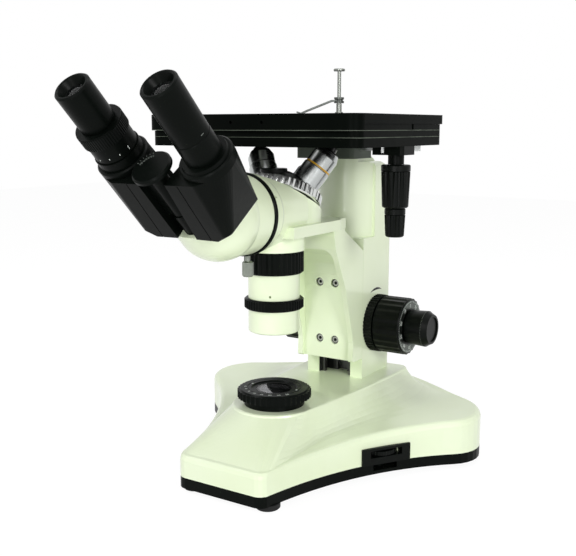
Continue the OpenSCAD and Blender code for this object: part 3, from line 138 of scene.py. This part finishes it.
def paint(material, *nodes):
    for name in nodes:
        slots = bpy.data.objects[name].material_slots
        for slot in slots:
            slot.link = "OBJECT"
            slot.material = material
        if not slots:
            bpy.data.objects[name].data.materials.append(material)


# Places of the solids that the finishes and marks are set by, in millimetres and degrees
layout = {"shaft": (0, 130.5, 110.5), "tilt": 27, "turretTop": 256.8, "seatRadius": 20,
          "neck": (0, -76, 226), "neckLength": 16.5, "eyeHalf": 37, "eyeShift": -9.5, "hingeShift": -23,
          "clip": (43.5, 30, 0), "lock": (0, -37.5, 0)}

tiltAngle = math.radians(layout["tilt"])
tiltAxis = (0, math.sin(tiltAngle), math.cos(tiltAngle))
seatRadius = layout["seatRadius"]
turretPlace = np.array([0, seatRadius * tiltAxis[2], layout["turretTop"] - seatRadius * tiltAxis[1]])
eyeAxis = (0, -math.sqrt(0.5), math.sqrt(0.5))
eyeBack = np.array([0, math.sqrt(0.5), math.sqrt(0.5)])
neckPlace = np.array(layout["neck"]) + layout["neckLength"] * np.array(eyeAxis)


# A place in millimetres as a plain point in metres
def metres(place):
    return tuple(np.array(place) * mm)


# A point of the head: sideways, backwards and along the eyepieces from the joint plane, in millimetres
def headPlace(x, back, height):
    return neckPlace + np.array([x, 0, 0]) + back * eyeBack + height * np.array(eyeAxis)


# Finishes

enamel = {"drift": 45 * mm, "patch": 4 * mm, "patchRough": 0.12, "stippleSize": 1.1 * mm, "depth": 0.1 * mm,
          "coatRough": 0.12}


# Enamel: a colour that varies by two per cent over some centimetres, and a stoved stipple under its gloss.
# Where a mask is given, its share of the surface shows the look's own masked colour
def enamelFinish(name, look, masked=None):
    made = Finish(name, {"Specular IOR Level": look["gloss"], "Coat Weight": look["coat"],
                         "Coat Roughness": enamel["coatRough"]})
    body = made.mix(made.noise(enamel["drift"]).above(0.5, 0.5), look["lit"], look["shade"])
    if masked:
        body = made.mix(masked(made), body, look["masked"])
    made.wire(Base_Color=body, Roughness=made.noise(enamel["patch"]) * enamel["patchRough"] + look["rough"])
    made.bump(made.noise(enamel["stippleSize"], 1.0), look["stipple"], enamel["depth"])
    return made.material


plastic = {"drift": 12 * mm, "patch": 0.9 * mm, "patchRough": 0.16, "grainSize": 0.5 * mm, "depth": 0.06 * mm}


# Moulded plastic: a leather-like grain of half a millimetre
def plasticFinish(name, color, shade, roughness, grain, gloss=0.3):
    made = Finish(name, {"Specular IOR Level": gloss})
    drift = made.noise(plastic["drift"]).above(0.5, 0.6)
    made.wire(Base_Color=made.mix(drift, color, shade),
              Roughness=made.noise(plastic["patch"]) * plastic["patchRough"] + roughness)
    made.bump(made.noise(plastic["grainSize"]), grain, plastic["depth"])
    return made.material


turning = {"perMetre": 9000.0, "drift": 6 * mm, "lineRough": 0.14, "strength": 0.12, "depth": 0.04 * mm}


# Turned metal: fine rings about an axis, a noise that runs with the distance along it and from it
def turnedFinish(name, color, shade, roughness, point, direction):
    made = Finish(name, {"Metallic": 1.0})
    lines = made.lines(turning["perMetre"], made.along(point, direction), made.around(point, direction))
    made.wire(Base_Color=made.mix(made.noise(turning["drift"]), color, shade),
              Roughness=lines * turning["lineRough"] + roughness)
    made.bump(lines, turning["strength"], turning["depth"])
    return made.material


# The cream's masked colour is painted shade: the near-black inside of the column's slot
creamLook = {"lit": linear(237, 248, 217), "shade": linear(231, 243, 207), "masked": linear(14, 15, 14),
             "rough": 0.28, "stipple": 0.10, "gloss": 0.5, "coat": 0.6}
blackLook = {"lit": linear(8, 12, 9), "shade": linear(6, 9, 7), "masked": linear(8, 9, 8),
             "rough": 0.28, "stipple": 0.22, "gloss": 0.06, "coat": 0.0}
# The stage's masked colour is its bright edge bands: bare machined metal, painted brighter as a highlight
stageLook = {"lit": linear(8, 11, 8), "shade": linear(5, 8, 6), "masked": linear(112, 120, 108),
             "rough": 0.34, "stipple": 0.35, "gloss": 0.02, "coat": 0.0}
padLook = dict(blackLook, lit=linear(96, 104, 94), shade=linear(84, 92, 82))
steelColors = {"lit": linear(214, 216, 214), "shade": linear(184, 187, 186)}

columnSlot = {"half": 17.3 * mm, "front": 104.5 * mm, "back": 126 * mm, "top": 180.2 * mm, "soft": 0.1 * mm}


# The slot of the column, painted near-black as painted shade of its deep inside: the box between its cheeks,
# below its top
def insideSlot(made):
    soft = columnSlot["soft"]
    aside = made.along((0, 0, 0), xAxis).math("ABSOLUTE").above(columnSlot["half"], soft)
    behind = made.along((0, 0, 0), yAxis).between(columnSlot["front"], columnSlot["back"], 2 * soft)
    over = made.along((0, 0, 0), zAxis).above(columnSlot["top"], soft)
    return (1.0 - aside) * behind * (1.0 - over)


bareEdgesAndHighlights = {"heights": (290.55 * mm, 285.25 * mm), "half": 0.25 * mm, "soft": 0.1 * mm,
                 "bandBreakSize": 20 * mm}


# The stage's machined edges: thin bright bands at two heights, bare metal painted brighter as a highlight
# along the lips, broken unevenly along their way
def stageEdges(made):
    height = made.along((0, 0, 0), zAxis)
    half, soft = bareEdgesAndHighlights["half"], bareEdgesAndHighlights["soft"]
    upper, lower = (height.between(at - half, at + half, soft) for at in bareEdgesAndHighlights["heights"])
    return (upper + lower) * made.noise(bareEdgesAndHighlights["bandBreakSize"]).above(0.4, 0.8)


creamEnamel = enamelFinish("creamEnamel", creamLook)
columnEnamel = enamelFinish("columnEnamel", creamLook, insideSlot)
blackEnamel = enamelFinish("blackEnamel", blackLook)
stageEnamel = enamelFinish("stageEnamel", stageLook, stageEdges)
padEnamel = enamelFinish("padEnamel", padLook)
blackPlastic = plasticFinish("blackPlastic", blackLook["lit"], blackLook["shade"], 0.24, 0.2, 0.1)
feetRubber = plasticFinish("feetRubber", linear(22, 24, 23), linear(15, 16, 16), 0.62, 0.5)
whiteCeramic = plasticFinish("whiteCeramic", linear(236, 234, 224), linear(226, 222, 210), 0.25, 0.1)
greenBoard = plasticFinish("greenBoard", linear(26, 92, 50), linear(20, 78, 42), 0.30, 0.2)
whitePrint = plasticFinish("whitePrint", linear(226, 232, 226), linear(206, 214, 207), 0.45, 0.05)
blackPrint = plasticFinish("blackPrint", linear(16, 18, 17), linear(12, 13, 13), 0.45, 0.05)
# Grey print of the scales, also used for the painted highlight on the right eyepiece's seam
greyPrintAndHighlight = plasticFinish("greyPrintAndHighlight", linear(118, 124, 118), linear(100, 106, 100), 0.45, 0.05)

paint(feetRubber, "feet")
paint(blackEnamel, "bottom_plate", "lens_mount", "turret_seat", "head_joint_ring", "head_hinge", "field_ring",
      "aperture_ring", "filter_ring", "knob_block", "prism_box_right", "prism_box_left", "dioptre_ring",
      "eyepiece_right", "eyepiece_left", "eye_tube_right", "eye_tube_left", "beam_splitter")
paint(columnEnamel, "column")
paint(creamEnamel, "base_cover", "focus_bracket", "scope_body", "head_casting", "illuminator_tube")
paint(stageEnamel, "lower_plate", "upper_plate")
paint(padEnamel, "stage_base")
paint(blackPlastic, "side_bezel", "power_inlet", "power_rocker", "dimmer_wheel", "tension_ring",
      "coarse_knob_right", "coarse_knob_left", "fine_knob_right", "fine_knob_left",
      "dust_cap", "x_knob", "y_knob")
paint(whiteCeramic, "lamp_socket")
paint(greenBoard, "control_board")

# Bare metals: the colour of each, and the axis that it was turned or ground about
metals = {
    "groundSteel": {"lit": steelColors["lit"], "shade": steelColors["shade"], "rough": 0.24,
                    "point": metres(layout["shaft"]), "axis": xAxis,
                    "nodes": ("stage_rack", "pinion_shaft", "fine_shaft", "slide_block", "focus_rack")},
    "corePlates": {"lit": linear(120, 122, 126), "shade": linear(96, 98, 103), "rough": 0.42,
                   "point": (0, 0.08, 0), "axis": yAxis, "nodes": ("transformer",)},
    "insertSteel": {"lit": linear(176, 178, 174), "shade": linear(150, 152, 148), "rough": 0.26,
                    "point": (0, 0, 0), "axis": zAxis, "nodes": ("stage_insert",)},
    "postSteel": {"lit": linear(142, 145, 140), "shade": linear(112, 115, 110), "rough": 0.24,
                  "point": metres(layout["clip"]), "axis": zAxis, "nodes": ("clip_post",)},
    "screwSteel": {"lit": linear(150, 155, 146), "shade": linear(120, 125, 117), "rough": 0.26,
                   "point": metres(layout["lock"]), "axis": zAxis, "nodes": ("lock_screw",)},
    "armSteel": {"lit": linear(92, 95, 92), "shade": linear(66, 69, 66), "rough": 0.3,
                 "point": metres(layout["clip"]), "axis": zAxis, "nodes": ("clip_arm",)}}
for name, look in metals.items():
    metal = turnedFinish(name, look["lit"], look["shade"], look["rough"], look["point"], look["axis"])
    paint(metal, *look["nodes"])

# Socket screws of the bracket: a bright face between a black rim and a black socket, the black being painted
# shade of the counterbore and the socket
screwLook = {"sideways": 8 * mm, "heights": (98.9 * mm, 152.2 * mm), "rim": 2.9 * mm, "face": 90.7 * mm,
             "lit": linear(168, 172, 160)}


# Painted shade: black where the nearest screw's axis is farther than the rim, or where it is deeper than the
# face
def screwFinish():
    made = Finish("screwFinish", {})
    low, high = screwLook["heights"]
    aside = made.along((0, 0, 0), xAxis).math("ABSOLUTE") - screwLook["sideways"]
    over = made.along((0, 0, (low + high) / 2), zAxis).math("ABSOLUTE") - (high - low) / 2
    rim = (aside ** 2.0 + over ** 2.0).math("SQRT").above(screwLook["rim"], 0.2 * mm)
    dark = made.along((0, screwLook["face"], 0), yAxis).above(0.0, 0.1 * mm).math("MAXIMUM", rim)
    made.wire(Base_Color=made.mix(dark, screwLook["lit"], blackLook["lit"]), Metallic=1.0 - dark,
              Roughness=made.noise(1 * mm) * 0.1 + 0.25)
    made.bump(made.noise(0.6 * mm), 0.1, 0.04 * mm)
    return made.material


paint(screwFinish(), "bracket_screws")

glassLooks = {
    "lensGlass": {"lit": (0.93, 0.97, 1.0, 1), "shade": (0.97, 0.94, 1.0, 1), "index": 1.5},
    "lampGlass": {"lit": (1.0, 0.99, 0.95, 1), "shade": (0.98, 0.97, 0.92, 1), "index": 1.5},
    "coatedGlass": {"lit": (0.80, 0.86, 0.88, 1), "shade": (0.84, 0.82, 0.9, 1), "index": 1.27}}


# Glass: a clear body whose tint drifts faintly, and a low index where a coating keeps it from mirroring
def glassFinish(name):
    look = glassLooks[name]
    made = Finish(name, {"Transmission Weight": 1.0, "IOR": look["index"]})
    made.wire(Base_Color=made.mix(made.noise(20 * mm), look["lit"], look["shade"]),
              Roughness=made.noise(3 * mm) * 0.02 + 0.01)
    return made.material


lensGlass, lampGlass, coatedGlass = (glassFinish(name) for name in glassLooks)
paint(lensGlass, "collector_lens", "head_prism")
paint(coatedGlass, "field_glass")
paint(lampGlass, "lamp_bulb")

turretLook = {"ringTop": -5.45 * mm, "dome": linear(70, 74, 71), "domeMetal": 0.55, "domeRough": 0.2}


# Nosepiece: a dark anodised dome inside a chromed, fluted ring, told apart by the height along its axis
def turretFinish():
    made = Finish("turretFinish", {})
    dome = made.along(metres(turretPlace), tiltAxis).above(turretLook["ringTop"], 0.04 * mm)
    made.wire(Base_Color=made.mix(dome, steelColors["lit"], turretLook["dome"]),
              Metallic=1.0 - dome * (1.0 - turretLook["domeMetal"]),
              Roughness=made.noise(2 * mm) * 0.08 + dome * turretLook["domeRough"] + 0.12)
    made.bump(made.noise(0.9 * mm), 0.08, 0.05 * mm)
    return made.material


paint(turretFinish(), "turret")
print("finishes ready")


# Shapes

# Edges stay sharp where two faces meet at more than this many degrees
sharpFrom = 30


# An orthonormal frame about an axis: two directions across it and the axis itself
def frameAbout(axis, start):
    axis = np.array(axis, float) / np.linalg.norm(axis)
    across = np.array(start, float) - axis * np.dot(start, axis)
    across /= np.linalg.norm(across)
    return across, np.cross(axis, across), axis


def addPiece(name, points, faces, material, body):
    mesh = bpy.data.meshes.new(name)
    mesh.from_pydata(np.asarray(points, float).reshape(-1, 3).tolist(), [], faces)
    mesh.materials.append(material)
    mesh.shade_smooth()
    mesh.set_sharp_from_angle(angle=math.radians(sharpFrom))
    piece = bpy.data.objects.new(name, mesh)
    bpy.context.collection.objects.link(piece)
    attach(piece, body)
    return piece


# Faces of a grid of rows and columns, joined at its ends where asked
def gridFaces(rows, columns, closeRows, closeColumns):
    row = np.arange(rows if closeRows else rows - 1)[:, None]
    column = np.arange(columns if closeColumns else columns - 1)[None, :]
    nextRow, nextColumn = (row + 1) % rows, (column + 1) % columns
    corners = [row * columns + column, row * columns + nextColumn,
               nextRow * columns + nextColumn, nextRow * columns + column]
    return np.stack(np.broadcast_arrays(*corners), -1).reshape(-1, 4).tolist()


# Turned solid: the closed profile (radius, height) swept round the axis, each point at
# origin + r (u cos a + v sin a) + h axis
def turnedPiece(name, profile, origin, axis, start, material, body, slotName, segments=96):
    u, v, n = frameAbout(axis, start)
    profile = np.array(profile, float) * mm
    angle = np.linspace(0, 2 * math.pi, segments, endpoint=False)
    ring = u[None] * np.cos(angle)[:, None] + v[None] * np.sin(angle)[:, None]
    poles = np.isclose(profile[:, 0], 0)
    inner = profile[~poles]
    points = np.array(origin) * mm + inner[:, None, :1] * ring[None] + inner[:, None, 1:] * n[None, None]
    points = points.reshape(-1, 3)
    closed = not poles.any()
    faces = gridFaces(len(inner), segments, closed, True)
    if not closed:
        tips = np.array(origin) * mm + profile[poles][:, 1:] * n[None]
        points = np.vstack([points, tips])
        index = np.arange(segments)
        turn = (index + 1) % segments
        last = (len(inner) - 1) * segments
        count = len(inner) * segments
        faces += np.stack([turn, index, np.full(segments, count)], -1).tolist()
        faces += np.stack([last + index, last + turn, np.full(segments, count + 1)], -1).tolist()
    return addPiece(name, points, faces, material, body)


# Places and directions round a dial: where each angle lies, outwards, along the turn and along the axis
def dialPlaces(dial, angles, radius, height):
    origin, axis, start = dial
    u, v, n = frameAbout(axis, start)
    angles = np.radians(angles)[:, None]
    out = u * np.cos(angles) + v * np.sin(angles)
    turn = v * np.cos(angles) - u * np.sin(angles)
    return np.array(origin) + out * radius + n * height, out, turn, np.broadcast_to(n, out.shape)


# Strokes round a dial: small boxes (long, wide, high) that run outwards on its face,
# or along the axis on its rim
def strokesPiece(name, dial, angles, radius, height, sizes, onFace, material, body):
    places, out, turn, up = dialPlaces(dial, angles, radius, height)
    along, high = (out, up) if onFace else (up, out)
    corners = [[x, y, z] for z in (0, 1) for x, y in ((-0.5, -0.5), (0.5, -0.5), (0.5, 0.5), (-0.5, 0.5))]
    corners = np.array(corners)[None] * np.broadcast_to(sizes, (len(places), 3))[:, None] * mm
    points = places[:, None] * mm + corners @ np.stack([along, turn, high], 1)
    box = np.array([[0, 3, 2, 1], [4, 5, 6, 7], [0, 1, 5, 4], [1, 2, 6, 5], [2, 3, 7, 6], [3, 0, 4, 7]])
    faces = (box[None] + 8 * np.arange(len(points))[:, None, None]).reshape(-1, 4).tolist()
    return addPiece(name, points, faces, material, body)


lettering = {"capShare": 0.7, "thickness": 0.04 * mm, "steps": 2}


# Numbers laid flat round a dial: their heads point outwards, or inwards where facing is -1
def numbersPiece(name, dial, words, angles, radius, height, size, facing, material, body):
    places, out, turn, up = dialPlaces(dial, angles, radius, height)
    points, faces = [], []
    for word, place, right, head in zip(words, places, -facing * turn, facing * out):
        curve = bpy.data.curves.new("word", "FONT")
        curve.body, curve.size = word, size / lettering["capShare"] * mm
        curve.extrude = lettering["thickness"]
        curve.align_x, curve.align_y = "CENTER", "CENTER"
        curve.resolution_u = lettering["steps"]
        text = bpy.data.objects.new("word", curve)
        bpy.context.collection.objects.link(text)
        bpy.context.view_layer.update()
        mesh = bpy.data.meshes.new_from_object(text.evaluated_get(bpy.context.evaluated_depsgraph_get()))
        flat = np.empty(len(mesh.vertices) * 3)
        mesh.vertices.foreach_get("co", flat)
        offset = sum(len(block) for block in points)
        points.append(place * mm + flat.reshape(-1, 3) @ np.stack([right, head, np.cross(right, head)]))
        faces += [[offset + index for index in polygon.vertices] for polygon in mesh.polygons]
        bpy.data.objects.remove(text)
        bpy.data.meshes.remove(mesh)
        bpy.data.curves.remove(curve)
    return addPiece(name, np.vstack(points), faces, material, body)


# Objectives: satin chrome barrels with a coloured magnification band and a black nose of the given radius
objectives = {
    "objective_right": {"turn": 90, "length": 37, "band": linear(206, 158, 30), "bandAt": (15.65, 17.0),
                        "noseAt": 31.9, "nose": 5.2},
    "objective_left": {"turn": -90, "length": 34, "band": linear(52, 55, 53), "bandAt": (14.35, 14.9),
                       "noseAt": 29.3, "nose": 6.0},
    "objective_rear": {"turn": 180, "length": 31, "band": linear(52, 120, 66), "bandAt": (13.1, 14.4),
                       "noseAt": 26.7, "nose": 6.5}}
barrel = {"perMetre": 7000.0, "lineRough": 0.12, "bandRough": 0.1, "rough": 0.2, "lensDrop": 0.75,
          "noseWall": 1.9}


# Seat of an objective: a point on the nosepiece's circle, and an axis leaning outwards by the tilt
def seatFrame(turn):
    u, v, n = frameAbout(tiltAxis, (0, -1, 0))
    out = u * math.cos(math.radians(turn)) + v * math.sin(math.radians(turn))
    return turretPlace + seatRadius * out, n * math.cos(tiltAngle) + out * math.sin(tiltAngle), out


def objectiveFinish(name, look, place, axis):
    made = Finish(name, {})
    height = made.along(metres(place), tuple(axis))
    low, high = (value * mm for value in look["bandAt"])
    band = height.between(low, high, 0.06 * mm)
    nose = height.above(look["noseAt"] * mm, 0.1 * mm)
    lines = made.lines(barrel["perMetre"], height)
    body = made.mix(band, steelColors["shade"], look["band"])
    made.wire(Base_Color=made.mix(nose, body, blackLook["lit"]), Metallic=(1.0 - band) * (1.0 - nose),
              Roughness=lines * barrel["lineRough"] + band * barrel["bandRough"] + barrel["rough"])
    made.bump(lines, 0.1, 0.04 * mm)
    return made.material


for objectiveName, look in objectives.items():
    seatPlace, seatAxis, seatOut = seatFrame(look["turn"])
    paint(objectiveFinish(objectiveName + "Finish", look, seatPlace, seatAxis), objectiveName)
    tip = look["length"] - barrel["lensDrop"]
    rim = look["nose"] - barrel["noseWall"]
    profile = [(0, tip), (rim, tip), (rim, tip + 0.25), (rim * 0.6, tip + 0.5), (0, tip + 0.6)]
    turnedPiece(objectiveName + "Lens", profile, seatPlace, seatAxis, seatOut, lensGlass,
                "nosepiece", "lens_glass", 48)
print("nosepiece ready")

# Coarse knobs: a dark metal ring on the face with white strokes and numbers, and two index dots on the rim
coarseScale = {"face": 64.6, "inner": 17.0, "outer": 24.3, "ticks": 100, "tickRadius": 23.2,
               "tickLift": 0.12, "tickLong": (2.0, 1.6, 1.2), "tickWide": 0.28, "tickHigh": 0.08,
               "numbers": 10, "numberRadius": 19.6, "numberLift": 0.13, "numberHeight": 3.2,
               "rim": 25.75, "dots": ((2.4, 0.09), (18.6, 0.36)), "dotSize": (1.3, 1.3, 0.12)}
# Fine knobs: faint strokes round the rim, sunk into it by half their height
fineTicks = {"height": 81.9, "radius": 16.5, "sink": 0.06, "count": 72, "size": (0.9, 0.22, 0.12)}
scaleMetal = turnedFinish("scaleMetal", linear(92, 98, 92), linear(74, 80, 74), 0.3,
                          metres(layout["shaft"]), xAxis)
face, inner, outer = coarseScale["face"], coarseScale["inner"], coarseScale["outer"]
scaleProfile = [(inner, face - 0.4), (outer, face - 0.4), (outer, face + 0.05), (outer - 0.3, face + 0.15),
                (inner + 0.2, face + 0.15), (inner, face + 0.05)]
for side, name in ((1, "Right"), (-1, "Left")):
    dial = (layout["shaft"], (side, 0, 0), zAxis)
    turnedPiece("coarseScale" + name, scaleProfile, *dial, scaleMetal, "coarse", "steel")
    count = np.arange(coarseScale["ticks"])
    longest, middle, short = coarseScale["tickLong"]
    lengths = np.where(count % 10 == 0, longest, np.where(count % 5 == 0, middle, short))
    sizes = [(length, coarseScale["tickWide"], coarseScale["tickHigh"]) for length in lengths]
    strokesPiece("coarseTicks" + name, dial, count * 360 / len(count), coarseScale["tickRadius"],
                 face + coarseScale["tickLift"], sizes, True, whitePrint, "coarse")
    count = np.arange(coarseScale["numbers"])
    numbersPiece("coarseNumbers" + name, dial, [str(10 * number) for number in count],
                 count * 360 / len(count), coarseScale["numberRadius"], face + coarseScale["numberLift"],
                 coarseScale["numberHeight"], 1, whitePrint, "coarse")
    for index, (back, lift) in enumerate(coarseScale["dots"]):
        dotDial = (layout["shaft"], (side, 0, 0), (0, -1, lift))
        strokesPiece("coarseIndex" + name + str(index), dotDial, [0.0], coarseScale["rim"], face - back,
                     coarseScale["dotSize"], False, whitePrint, "coarse")
    strokesPiece("fineTicks" + name, dial, np.arange(fineTicks["count"]) * 360 / fineTicks["count"],
                 fineTicks["radius"] - fineTicks["sink"], fineTicks["height"], fineTicks["size"], False,
                 greyPrintAndHighlight, "fine")

# Tension mark: a crescent on the column's side above the ring, its half width the sine of the way along it
tensionMark = {"radius": 32.4, "from": 70, "to": 112, "halfWidth": 1.1, "side": 29.3,
               "thickness": (-0.02, 0.08)}
way = np.linspace(0.01, 0.99, 41)
angle = np.radians(tensionMark["from"] + way * (tensionMark["to"] - tensionMark["from"]))[:, None]
half = tensionMark["halfWidth"] * np.sin(math.pi * way)
reach = tensionMark["radius"] + half[:, None] * np.array([1, 1, -1, -1])
low, high = tensionMark["thickness"]
lift = tensionMark["side"] + np.array([low, high, high, low]) + 0 * reach
shaftY, shaftZ = layout["shaft"][1:]
points = np.stack([lift, shaftY + reach * np.cos(angle), shaftZ + reach * np.sin(angle)], -1) * mm
ends = [[3, 2, 1, 0], [4 * len(way) - 4 + index for index in range(4)]]
addPiece("tensionMark", points, gridFaces(len(way), 4, False, True) + ends, blackPrint,
         "stand")
print("focus scales ready")

# Field ring: white numbers and two spanner dots on its top
fieldMarks = {"top": 75.5, "numberRadius": 24.6, "numberLift": 0.02, "numberHeight": 2.2, "count": 8,
              "first": -60, "step": 17, "dotRadius": 21.0, "dotSink": 0.02, "dotFrom": (1, 0.1, 0),
              "dot": [(0, 0), (0.8, 0), (0.8, 0.12), (0.6, 0.18), (0, 0.18)]}
dial = ((0, 0, 0), zAxis, (0, -1, 0))
count = np.arange(fieldMarks["count"])
numbersPiece("fieldNumbers", dial, [str(4 * number) for number in count],
             fieldMarks["first"] + fieldMarks["step"] * count, fieldMarks["numberRadius"],
             fieldMarks["top"] + fieldMarks["numberLift"], fieldMarks["numberHeight"], -1, whitePrint,
             "field")
dial = ((0, 0, 0), zAxis, fieldMarks["dotFrom"])
height = fieldMarks["top"] - fieldMarks["dotSink"]
places = dialPlaces(dial, np.array([0.0, 180.0]), fieldMarks["dotRadius"], height)[0]
for index, place in enumerate(places):
    turnedPiece("fieldDot" + str(index), fieldMarks["dot"], place, zAxis, xAxis, whitePrint,
                "field", "black_enamel", 24)

# Dioptre ring: white strokes round its plain lower band, the last one longer
dioptreMarks = {"height": 72.0, "radius": 16.5, "sink": 0.03, "angles": (236, 264, 292, 320, 348),
                "wide": 0.6, "high": 0.1, "long": (1.1, 1.1, 1.1, 1.1, 3.0)}
dial = (headPlace(-layout["eyeHalf"], layout["eyeShift"], 0), eyeAxis, xAxis)
sizes = [(length, dioptreMarks["wide"], dioptreMarks["high"]) for length in dioptreMarks["long"]]
strokesPiece("dioptreStrokes", dial, dioptreMarks["angles"], dioptreMarks["radius"] - dioptreMarks["sink"],
             dioptreMarks["height"], sizes, False, whitePrint, "dioptre")

# Right eyepiece: a grey stroke along the seam where it meets its tube, a painted highlight on the seam's edge
seamStroke = {"angle": -14.0, "radius": 13.12, "height": 84.5, "size": (0.5, 2.6, 0.12)}
dial = (headPlace(layout["eyeHalf"], layout["eyeShift"], 0), eyeAxis, xAxis)
strokesPiece("seamStroke", dial, [seamStroke["angle"]], seamStroke["radius"], seamStroke["height"],
             seamStroke["size"], False, greyPrintAndHighlight, "head_right")

# Hinge scale: strokes and numbers for the distance between the eyes
hingeScale = {"height": 64.7, "radius": 12.4, "first": 110, "step": 12, "count": 6,
              "stroke": (1.6, 0.3, 0.08), "numbersInside": 3.0, "numberLift": 0.02, "numberHeight": 1.7,
              "firstNumber": 55, "numberStep": 4}
dial = (headPlace(0, layout["hingeShift"], 0), eyeAxis, xAxis)
count = np.arange(hingeScale["count"])
angles = hingeScale["first"] + hingeScale["step"] * count
strokesPiece("hingeStrokes", dial, angles, hingeScale["radius"], hingeScale["height"],
             hingeScale["stroke"], True, greyPrintAndHighlight, "carriage")
words = [str(hingeScale["firstNumber"] + hingeScale["numberStep"] * number) for number in count]
numbersPiece("hingeNumbers", dial, words, angles, hingeScale["radius"] - hingeScale["numbersInside"],
             hingeScale["height"] + hingeScale["numberLift"], hingeScale["numberHeight"], 1, greyPrintAndHighlight,
             "carriage")

# Eyepieces: a domed eye lens in each cup, set by the height of the cup's rim along the eyepiece
eyeLens = {"tops": {"head_right": 125.0, "dioptre": 125.3},
           "profile": [(0, -5.6), (7.3, -5.6), (7.3, -5.2), (5.6, -4.4), (2.8, -3.95), (0, -3.8)]}
for side, name, body in ((1, "Right", "head_right"), (-1, "Left", "dioptre")):
    place = headPlace(layout["eyeHalf"] * side, layout["eyeShift"], eyeLens["tops"][body])
    turnedPiece("eyeLens" + name, eyeLens["profile"], place, eyeAxis, xAxis, coatedGlass,
                body, "lens_glass", 64)
print("marks ready")


# Studio

studio = {"camera": (0.395, -0.596, 0.293), "turn": (80.18, 0.0, 32.6), "lens": 54.5, "sensor": 36,
          "nearest": 0.01, "floorHalf": 3.0, "world": 0.27, "seen": 1.0, "floorSeen": 1.09,
          "floorShare": 0.86, "paper": 0.85, "paperRough": 0.9}
lamps = {
    "keyLamp": {"place": (-0.9, -1.3, 1.2), "target": (0, 0, 0.15), "size": 0.5, "power": 12},
    "fillLamp": {"place": (1.6, -0.9, 0.8), "target": (0, 0, 0.15), "size": 0.6, "power": 17},
    "topLamp": {"place": (0.1, 0.3, 1.9), "target": (0, 0.05, 0.1), "size": 0.8, "power": 7},
    "frontLamp": {"place": (0.5, -1.6, 0.35), "target": (0, 0, 0.12), "size": 0.4, "power": 5}}


def addCamera():
    data = bpy.data.cameras.new("camera")
    data.lens = studio["lens"]
    data.sensor_width = studio["sensor"]
    data.clip_start = studio["nearest"]
    camera = bpy.data.objects.new("camera", data)
    camera.location = studio["camera"]
    camera.rotation_euler = [math.radians(angle) for angle in studio["turn"]]
    bpy.context.collection.objects.link(camera)
    bpy.context.scene.camera = camera


def addLamp(name, look):
    data = bpy.data.lights.new(name, "AREA")
    data.energy = look["power"]
    data.shape = "RECTANGLE"
    data.size = data.size_y = look["size"]
    lamp = bpy.data.objects.new(name, data)
    lamp.location = look["place"]
    toward = np.array(look["target"]) - np.array(look["place"])
    yaw = math.atan2(toward[1], toward[0])
    pitch = math.atan2(-toward[2], math.hypot(toward[0], toward[1]))
    lamp.rotation_euler = (math.pi / 2 - pitch, 0.0, yaw - math.pi / 2)
    bpy.context.collection.objects.link(lamp)


# White where it is seen directly, through glass or mirrored, a soft grey as a light
def whiteSeen(tree, seen, otherwise):
    path = addNode(tree, "ShaderNodeLightPath", {}, {})
    direct = Wire(path.outputs["Is Camera Ray"]).math("MAXIMUM", Wire(path.outputs["Is Transmission Ray"]))
    direct = direct.math("MAXIMUM", Wire(path.outputs["Is Glossy Ray"]))
    return direct * (seen - otherwise) + otherwise


def addWorld():
    world = bpy.data.worlds.new("studio")
    bpy.context.scene.world = world
    world.use_nodes = True
    tree = world.node_tree
    background = tree.nodes["Background"]
    background.inputs["Color"].default_value = (1, 1, 1, 1)
    tree.links.new(whiteSeen(tree, studio["seen"], studio["world"]).socket, background.inputs["Strength"])


# Floor: pale paper that keeps the object's shadow under a share of plain white
def addFloor():
    half = studio["floorHalf"]
    mesh = bpy.data.meshes.new("floor")
    corners = [(-half, -half, 0), (half, -half, 0), (half, half, 0), (-half, half, 0)]
    mesh.from_pydata(corners, [], [(0, 1, 2, 3)])
    floor = bpy.data.objects.new("floor", mesh)
    bpy.context.collection.objects.link(floor)
    paper = bpy.data.materials.new("floorPaper")
    paper.use_nodes = True
    tree = paper.node_tree
    shader = tree.nodes["Principled BSDF"]
    shader.inputs["Base Color"].default_value = (studio["paper"], studio["paper"], studio["paper"], 1)
    shader.inputs["Roughness"].default_value = studio["paperRough"]
    glow = addNode(tree, "ShaderNodeEmission", {}, {"Color": (1, 1, 1, 1), "Strength": studio["floorSeen"]})
    blend = addNode(tree, "ShaderNodeMixShader", {}, {"Fac": whiteSeen(tree, studio["floorShare"], 0.0)})
    tree.links.new(shader.outputs[0], blend.inputs[1])
    tree.links.new(glow.outputs[0], blend.inputs[2])
    tree.links.new(blend.outputs[0], tree.nodes["Material Output"].inputs["Surface"])
    floor.data.materials.append(paper)


addCamera()
addWorld()
addFloor()
for name, look in lamps.items():
    addLamp(name, look)
bpy.context.scene.view_settings.view_transform = "Standard"
print("studio ready")
